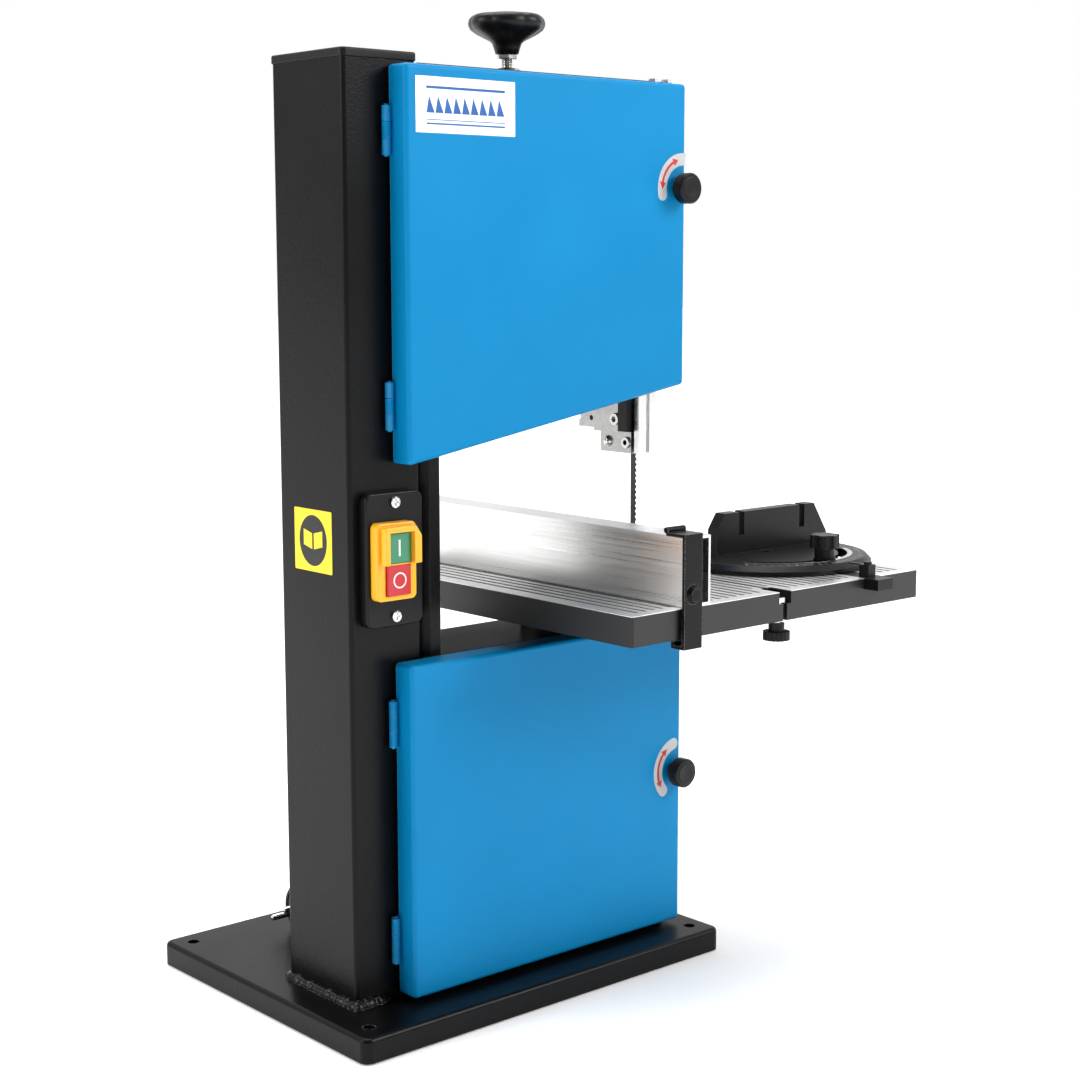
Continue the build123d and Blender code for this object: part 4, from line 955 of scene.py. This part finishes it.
@dataclass
class Tensioner(SubAssembly):
    """Lobed tension knob on its threaded rod, and the carriage behind the upper wheel."""

    lobes: int = 7
    crown_radius: float = 28 * MM
    rod_radius: float = 4 * MM
    thread: float = 1.25 * MM
    rod_inset: float = 24 * MM
    knob_height: float = 28 * MM

    def nodes(self) -> dict[str, Look]:
        """Bracket, carriage, spring, yoke and tracking knob."""
        return {"tension_bracket": Look.CASTING, "wheel_carriage": Look.CASTING,
                "tension_spring": Look.SPRING, "tilt_yoke": Look.STEEL, "tracking_knob": Look.PLASTIC}

    def lobe(self, angle: float, radius: float) -> float:
        """Factor for the knob's radius: deep round hollows between its lobes, fading towards the hub."""
        share = ease((radius - 0.35 * self.crown_radius) / (0.5 * self.crown_radius))
        wave = 0.5 + 0.5 * math.cos(self.lobes * angle)
        return 1 - 0.055 * share * (1 - wave ** 0.6)

    def build(self) -> None:
        """Turns the knob, its boss, the threaded rod, the collar and the nut."""
        low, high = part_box("tension_knob")
        x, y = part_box("wheel_carriage")[0].x + self.rod_inset, (low.y + high.y) / 2
        top = high.z
        place = aim((x, y, top), (0, 0, 1))
        skirt = in_mm([
            (7.8, -28), (8.4, -27.6), (9.4, -24), (10.6, -20.6), (12.4, -18.9), (17, -16.6), (22.4, -13.8),
            (26.4, -10.9), (27.8, -8.2), (28, -6.2), (27.3, -3.4), (25.4, -1.4), (22.6, -0.6), (18, -1.4),
            (14.2, -2.6), (12.8, -2.4), (11.8, -1.2), (10.6, -0.4), (8.5, 0), (0.4, 0)])
        knob = Shell().lathe(skirt, place, 140, self.lobe).piece(
            "tension_knob_crown", "tension_knob", Look.PLASTIC, smooth=60)
        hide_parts("tension_knob")
        rod = [(self.rod_radius * 0.9, low.z - top)]
        count = int((-self.knob_height - (low.z - top)) / self.thread)
        for turn in range(count):
            start = low.z - top + turn * self.thread
            rod += [(self.rod_radius, start + 0.5 * self.thread),
                    (self.rod_radius * 0.86, start + self.thread)]
        Shell().lathe(rod, place, 24).piece("tension_rod", "tension_knob", Look.ZINC, smooth=20)
        housing_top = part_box("upper_housing")[1].z - top
        collar = [(5, 0.1), (9.2, 0.1), (10, 0.9), (10, 4.4), (9.2, 5.3), (5, 5.3)]
        Shell().lathe([(r * MM, housing_top + h * MM) for r, h in collar], place).piece(
            "tension_collar", "tension_knob", Look.ZINC)
        nut = in_mm([(4.6, -31.7), (6.6, -31.7), (7.4, -31.1), (7.4, -28.7), (6.6, -28.1), (4.6, -28.1)])
        Shell().lathe(nut, place, 6).piece("tension_nut", "tension_knob", Look.ZINC)


@dataclass
class GuideHead(SubAssembly):
    """Blade guide: steel head, pins, thrust bearing, screws, cover and aluminium channel."""

    soften: float = 0.5 * MM
    recess: float = 2.2 * MM
    chamfer: float = 0.4 * MM
    screw_sides: int = 48
    socket_share: float = 0.52
    pin_radius: float = 3.4 * MM
    pin_lead: float = 0.3 * MM
    pin_rise: float = 8 * MM
    bearing_back: float = 8.5 * MM

    def nodes(self) -> dict[str, Look]:
        """Post, bracket, lock knob, head, cover, channel and lower guide."""
        return {"guide_post": Look.STEEL, "guide_post_bracket": Look.CASTING, "guide_lock_knob": Look.PLASTIC,
                "guide_body": Look.STEEL, "guide_cover": Look.PLASTIC, "guide_guard": Look.ALUMINIUM,
                "lower_blade_guide": Look.STEEL}

    def socket_screw(self, name: str, centre: Point, radius: float, height: float) -> bpy.types.Object:
        """Makes a bright screw head with a hexagon socket, facing left.

        Args:
            name: The piece's name.
            centre: Middle of the head's seat.
            radius: The head's radius.
            height: The head's height.

        Returns:
            The head.
        """
        rim = [(radius, 0), (radius, height - self.chamfer), (radius - self.chamfer, height)]
        steps, inner = self.screw_sides, self.socket_share * radius
        points, faces = [], []
        for reach, level in rim:
            for step in range(steps):
                angle = 2 * math.pi * step / steps
                points.append((reach * math.cos(angle), reach * math.sin(angle), level))
        for level in (height, height - self.recess):
            for step in range(steps):
                angle = 2 * math.pi * step / steps
                sector = (angle % (math.pi / 3)) - math.pi / 6
                reach = inner * math.cos(math.pi / 6) / math.cos(sector)
                points.append((reach * math.cos(angle), reach * math.sin(angle), level))
        for row in range(4):
            for step in range(steps):
                after = (step + 1) % steps
                faces.append((row * steps + step, row * steps + after, (row + 1) * steps + after,
                              (row + 1) * steps + step))
        faces.append(tuple(4 * steps + step for step in range(steps)))
        faces.append(tuple(reversed(range(steps))))
        return Shell().add(points, faces, aim(centre, (-1, 0, 0))).piece(name, "blade_guide", Look.ZINC)

    def build(self) -> None:
        """Makes the pins beside the blade, the thrust bearing and the visible screws."""
        low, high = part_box("guide_body")
        blade_low, blade_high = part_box("saw_blade")
        blade_left = blade_high.x - BLADE_THICKNESS
        pin_y, pin_z = (blade_low.y + blade_high.y) / 2, low.z + self.pin_rise
        radius, lead = self.pin_radius, self.pin_lead
        left_pin = [(3.3 * MM, 0), (radius, lead), (radius, blade_left - lead - low.x)]
        made = Shell().lathe(left_pin, aim((low.x, pin_y, pin_z), (1, 0, 0))).piece(
            "left_guide_pin", "blade_guide", Look.STEEL)
        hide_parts("blade_guides")
        right_pin = [(radius, 0), (radius, 6.8 * MM), (3.0 * MM, 7.1 * MM)]
        Shell().lathe(right_pin, aim((blade_high.x + lead, pin_y, pin_z), (1, 0, 0))).piece(
            "right_guide_pin", "blade_guide", Look.STEEL)
        bearing_y = blade_high.y + self.bearing_back
        self.socket_screw("guide_pin_collar", (low.x, pin_y, pin_z), 4.3 * MM, 1.9 * MM)
        self.socket_screw("guide_clamp_screw", (low.x, bearing_y, high.z - 14 * MM), 4.8 * MM, 2.6 * MM)
        dome = in_mm([(4.2, 0), (4.2, 0.8), (3.7, 1.9), (2.4, 2.7), (0.5, 3.0)])
        Shell().lathe(dome, aim((low.x, blade_high.y + 17 * MM, pin_z), (-1, 0, 0))).piece(
            "guide_head_bolt", "blade_guide", Look.ZINC)
        axle = aim((blade_left + BLADE_THICKNESS / 2, bearing_y, low.z + 25 * MM), (1, 0, 0))
        ring = in_mm([(4.0, -2.5), (7.7, -2.5), (8, -2.2), (8, 2.2), (7.7, 2.5), (4.0, 2.5), (4.0, 2.1),
                      (2.5, 2.1), (2.5, -2.1), (4.0, -2.1)])
        Shell().lathe(ring, axle).piece("thrust_bearing", "blade_guide", Look.STEEL)
        Shell().lathe(in_mm([(2.4, -8.2), (2.4, 7.2)]), axle).piece(
            "thrust_bearing_pin", "blade_guide", Look.ZINC)


@dataclass
class Table(SubAssembly):
    """Grooved table with its insert, slot bolt, knurled nut and tilting half-moon."""

    def nodes(self) -> dict[str, Look]:
        """Table, insert, bolt, nut, half-moon, bracket and lock knob."""
        return {"table": Look.TABLE, "table_insert": Look.ALUMINIUM, "slot_bolt": Look.ZINC,
                "thumb_nut": Look.PLASTIC, "table_trunnion": Look.CASTING, "trunnion_bracket": Look.BLACK,
                "tilt_lock_knob": Look.PLASTIC}


@dataclass
class Fence(SubAssembly):
    """Rip fence of extruded aluminium with its steel clamp."""

    def nodes(self) -> dict[str, Look]:
        """Fence and clamp."""
        return {"fence": Look.ALUMINIUM, "fence_clamp": Look.BLACK}


@dataclass
class MitreGauge(SubAssembly):
    """Mitre gauge: bar, head with its scale, and knob."""

    scale_from: int = -60
    scale_to: int = 60
    scale_step: int = 5
    scale_radius: float = 70 * MM
    film: float = 0.12 * MM

    def nodes(self) -> dict[str, Look]:
        """Bar, head and knob."""
        return {"mitre_bar": Look.CASTING, "mitre_head": Look.CASTING, "mitre_knob": Look.PLASTIC}

    def build(self) -> None:
        """Lays the bright strip along the slot and the scale's ticks on the head."""
        joint = next(j for j in frame["joints"] if j["name"] == "mitre_turn")
        x, y, _ = joint["pos_m"]
        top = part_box("mitre_head")[0].z + 7 * MM
        place = Matrix.Translation((x, y, top))
        Shell().plate(arc_band(0, 0, 61.8 * MM, 65.5 * MM, -153, -27, 60), 0, 0.25 * MM, place).piece(
            "mitre_slot_strip", "mitre_head", Look.ZINC)
        ticks = Shell()
        for angle in range(self.scale_from, self.scale_to + 1, self.scale_step):
            long = 4.6 * MM if angle % 15 == 0 else 2.8 * MM
            turn = Matrix.Rotation(math.radians(angle - 90), 4, "Z")
            ticks.plate([(self.scale_radius, -0.25 * MM), (self.scale_radius + long, -0.25 * MM),
                         (self.scale_radius + long, 0.25 * MM), (self.scale_radius, 0.25 * MM)],
                        0, self.film, place @ turn)
        ticks.piece("mitre_scale", "mitre_head", Look.CASTING, GREY_LABEL)


@dataclass
class Motor(SubAssembly):
    """Motor, fan cover and dust port on the back."""

    def nodes(self) -> dict[str, Look]:
        """Motor, cover and port."""
        return {"motor_body": Look.MOTOR, "motor_fan_cover": Look.PLASTIC, "dust_port": Look.PLASTIC}


@dataclass
class MainsCord(SubAssembly):
    """Mains cord: out of its gland, round in a neat tied coil of two layers, and on to its plug."""

    diameter: float = 7 * MM
    centre: tuple[float, float] = (105 * MM, 78 * MM)
    coil_radius: float = 40 * MM
    per_turn: int = 24
    turns: int = 5
    lead: tuple[Point, ...] = ((-30, 15.5, 46), (-30, 34, 46), (-20, 50, 42), (-2, 59.5, 34), (20, 60.5, 26),
                               (49, 54, 22))
    pin_length: float = 19 * MM
    tail: tuple[Point, ...] = ((62, 111.5, 22), (40, 94.5, 26), (23, 83, 32), (5, 77, 37), (-12, 77, 37))

    def nodes(self) -> dict[str, Look]:
        """Gland."""
        return {"cord_gland": Look.PLASTIC}

    def touch(self, spot: Point, side: int) -> float:
        """Angle at which a straight cord from a point meets the outer turn.

        Args:
            spot: The point, in millimetres.
            side: Which of the two tangents.

        Returns:
            The angle about the coil's centre, in degrees.
        """
        across, along = self.centre[0] - spot[0] * MM, self.centre[1] - spot[1] * MM
        distance = math.hypot(across, along)
        outer = self.coil_radius + self.diameter
        way = math.atan2(along, across) + side * math.asin(outer / distance)
        reach = math.sqrt(distance ** 2 - outer ** 2)
        x, y = spot[0] * MM + reach * math.cos(way), spot[1] * MM + reach * math.sin(way)
        return math.degrees(math.atan2(y - self.centre[1], x - self.centre[0]))

    def coil(self) -> list[Point]:
        """Points of the coil: three turns inwards on the base, three outwards on top of them.

        Returns:
            The points, in metres.
        """
        start = self.touch(self.lead[-1], -1)
        end = self.touch(self.tail[0], 1) + 360 * (self.turns + 1)
        if end - start > 360 * (self.turns + 1):
            end -= 360
        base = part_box("base_plate")[1].z + self.diameter / 2
        count = int((end - start) / 360 * self.per_turn)
        points = []
        for step in range(count + 1):
            angle = start + (end - start) * step / count
            inwards = ease((angle - start - 240) / 120) + ease((angle - start - 600) / 120)
            outwards = ease((angle - end + 780) / 100) + ease((angle - end + 420) / 100)
            radius = self.coil_radius + self.diameter * (1 - inwards + outwards)
            height = base + self.diameter * ease((angle - end + 1040) / 60)
            turn = math.radians(angle)
            points.append((*on_circle(*self.centre, radius, turn), height))
        return points

    def build(self) -> None:
        """Lays the cord as one smooth spline, ties its coil and makes the plug and its pins."""
        route = [tuple(part * MM for part in spot) for spot in self.lead] + self.coil()
        route += [tuple(part * MM for part in spot) for spot in self.tail]
        curve = bpy.data.curves.new("mains_cord", "CURVE")
        curve.dimensions = "3D"
        curve.bevel_depth, curve.bevel_resolution = self.diameter / 2, 5
        curve.resolution_u = 6
        curve.use_fill_caps = True
        spline = curve.splines.new("NURBS")
        spline.points.add(len(route) - 1)
        for point, spot in zip(spline.points, route):
            point.co = (*spot, 1.0)
        spline.order_u = 3
        spline.use_endpoint_u = True
        cord = bpy.data.objects.new("mains_cord", curve)
        bpy.context.scene.collection.objects.link(cord)
        curve.materials.append(LOOKS[Look.CORD])
        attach(cord, "frame")
        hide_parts("cord_lead", "cord_coil", "cord_tail")
        plug, pins = self.plug()
        tie = self.tie()
        self.length(cord)

    def length(self, cord: bpy.types.Object) -> float:
        """Length of the cord's smooth line, in metres."""
        bare = cord.copy()
        bare.data = cord.data.copy()
        bare.data.bevel_depth = 0.0
        mesh = bpy.data.meshes.new_from_object(bare)
        ends = [[mesh.vertices[corner].co for corner in edge.vertices] for edge in mesh.edges]
        total = sum((start - end).length for start, end in ends)
        bpy.data.meshes.remove(mesh)
        bpy.data.objects.remove(bare)
        LOG.info("mains cord is %.3f m long", total)
        return round(total, 3)

    def tie(self) -> bpy.types.Object:
        """Makes the hook-and-loop tie round the coil, on its right side."""
        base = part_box("base_plate")[1].z
        half, high, skin = 1.5 * self.diameter + 0.4 * MM, 2 * self.diameter + 0.7 * MM, 0.6 * MM
        x = self.centre[0] + self.coil_radius
        turn = Matrix(((1, 0, 0, x), (0, 0, -1, self.centre[1]), (0, 1, 0, base), (0, 0, 0, 1)))
        outer = rounded(-half, half, 0, high, 3 * MM)
        inner = rounded(-half + skin, half - skin, skin, high - skin, 2.6 * MM)
        count = len(outer)
        points = [(a, b, level) for level in (-6 * MM, 6 * MM) for ring in (outer, inner) for a, b in ring]
        faces = []
        for index in range(count):
            after = (index + 1) % count
            faces.append((index, after, 2 * count + after, 2 * count + index))
            faces.append((count + after, count + index, 3 * count + index, 3 * count + after))
            faces.append((after, index, count + index, count + after))
            faces.append((2 * count + index, 2 * count + after, 3 * count + after, 3 * count + index))
        return Shell().add(points, faces, turn).piece("coil_tie", "frame", Look.PLASTIC)

    def plug(self) -> tuple[bpy.types.Object, bpy.types.Object]:
        """Makes the plug's moulded body with its ribs, and its two pins.

        Returns:
            The body and the pins.
        """
        _, y, z = middle_of("mains_plug")
        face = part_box("mains_plug")[0].x + self.pin_length
        body = [(0.5, 0.6), (14.5, 0.6), (15.5, 0), (17.6, 0), (18.5, 1), (18.5, 21), (17.8, 23.5), (16, 26),
                (13.5, 31), (11, 37), (9.6, 43), (9, 47)]
        for ring in range(5):
            start = 47 + ring * 4.4
            size = 8.2 - 0.65 * ring
            body += [(size, start + 0.4), (size, start + 2.6), (size - 1.4, start + 3.0),
                     (size - 1.4, start + 4.2)]
        made = Shell().lathe(in_mm(body), aim((face, y, z), (1, 0, 0))).piece(
            "plug_body", "frame", Look.PLASTIC, smooth=30)
        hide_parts("mains_plug")
        pins = Shell()
        for side in (-1, 1):
            centre = (face, y + side * 8.1 * MM, z - side * 5 * MM)
            pins.lathe(in_mm([(2.4, 0), (2.4, 17.2), (1.7, 18.6), (0.6, 19)]), aim(centre, (-1, 0, 0)), 24)
        return made, pins.piece("plug_pins", "frame", Look.ZINC)


# ---------------------------------------------------------------- studio
@dataclass
class Studio:
    """Pale floor, soft lights and the camera."""

    spot: Point = (-0.90119, -1.13992, 0.53375)
    azimuth: float = -41.25
    elevation: float = 8.22
    roll: float = -0.08
    lens: float = 65.448
    sensor: float = 36.0
    floor_half: float = 14.0
    floor_near: float = 0.7
    floor_far: float = 3.5
    dim: float = 0.16
    bright: float = 1.0

    def camera(self) -> None:
        """Places the camera."""
        data = bpy.data.cameras.new("camera")
        data.lens, data.sensor_width = self.lens, self.sensor
        camera = bpy.data.objects.new("camera", data)
        a, e = math.radians(self.azimuth), math.radians(self.elevation)
        back = Vector((math.sin(a) * math.cos(e), -math.cos(a) * math.cos(e), math.sin(e)))
        turn = (-back).to_track_quat("-Z", "Y").to_matrix() @ Matrix.Rotation(math.radians(self.roll), 3, "Z")
        camera.matrix_world = Matrix.Translation(self.spot) @ turn.to_4x4()
        bpy.context.scene.collection.objects.link(camera)
        bpy.context.scene.camera = camera

    def floor(self) -> None:
        """Lays the pale floor."""
        mesh = bpy.data.meshes.new("floor")
        half = self.floor_half
        spots = [(-half, -half, 0), (half, -half, 0), (half, half, 0), (-half, half, 0)]
        mesh.from_pydata(spots, [], [(0, 1, 2, 3)])
        floor = bpy.data.objects.new("floor", mesh)
        bpy.context.scene.collection.objects.link(floor)
        made, graph, shader = start_material("pale_floor", {
            "Base Color": (0.92, 0.92, 0.92, 1), "Roughness": 0.8, "Specular IOR Level": 0.0,
            "Emission Strength": 1.0})
        place = graph.add("TexCoord").outputs["Object"]
        away = graph.add("VectorMath", {0: place}, operation="LENGTH").outputs["Value"]
        glow = graph.range(away, self.floor_near, self.floor_far, 0.24, 0.85)
        graph.tree.links.new(graph.add("CombineColor", {0: glow, 1: glow, 2: glow}).outputs[0],
                             shader.inputs["Emission Color"])
        mesh.materials.append(made)

    def light(self, name: str, spot: Point, size: float, power: float) -> None:
        """Adds one soft square light that faces the saw.

        Args:
            name: The light's name.
            spot: Where it stands.
            size: Its side, in metres.
            power: Its power, in watts.
        """
        data = bpy.data.lights.new(name, "AREA")
        data.size, data.energy = size, power
        light = bpy.data.objects.new(name, data)
        aim_at = Vector((0.0, -0.05, 0.35)) - Vector(spot)
        light.matrix_world = Matrix.Translation(spot) @ aim_at.to_track_quat("-Z", "Y").to_matrix().to_4x4()
        bpy.context.scene.collection.objects.link(light)

    def sky(self) -> None:
        """Makes a white backdrop behind the saw that fades to a dim room in front of it."""
        world = bpy.data.worlds.new("studio_sky")
        world.use_nodes = True
        graph = Graph(world.node_tree)
        way = graph.add("TexCoord").outputs["Generated"]
        a = math.radians(self.azimuth)
        behind = graph.add("VectorMath", {0: way, 1: (-math.sin(a), math.cos(a), 0.45)},
                           operation="DOT_PRODUCT")
        strength = graph.range(behind.outputs["Value"], 0.05, 0.6, self.dim, self.bright)
        background = world.node_tree.nodes["Background"]
        background.inputs["Color"].default_value = (1.0, 1.0, 1.0, 1.0)
        world.node_tree.links.new(strength, background.inputs["Strength"])
        bpy.context.scene.world = world

    def build(self) -> None:
        """Sets up the floor, the lights, the sky and the camera."""
        self.camera()
        self.floor()
        self.light("front_light", (1.6, -2.4, 1.9), 1.4, 62)
        self.light("left_light", (-2.4, 0.9, 1.4), 1.2, 34)
        self.light("top_light", (0.1, 0.3, 2.6), 2.0, 60)
        self.sky()
        bpy.context.scene.view_settings.view_transform = "Standard"


def parts() -> list[SubAssembly]:
    """Every sub-assembly of the saw, in the order in which it is built."""
    return [
        MainsCord(), Foot(), Post(), Door(),
        Door(name="lower_door", fittings="lower_door_leaves", latch="lower_door_latch",
             latch_body="lower_latch", arc_first=104.0, arc_last=222.0, round_start=True),
        BadgePlate(), Switch(), BladeAndWheels(), Tensioner(), GuideHead(), Table(), Fence(), MitreGauge(),
        Motor(),
    ]


def corners(box: tuple[Vector, Vector]) -> list[list[float]]:
    """Both corners of a box as plain lists."""
    return [list(box[0]), list(box[1])]


def main() -> None:
    """Builds the studio and every sub-assembly."""
    logging.basicConfig(level=logging.INFO, format="%(name)s: %(message)s")
    Studio().build()
    for part in parts():
        part.build()
        part.dress()
    bpy.context.view_layer.update()


if __name__ == "__main__":
    main()
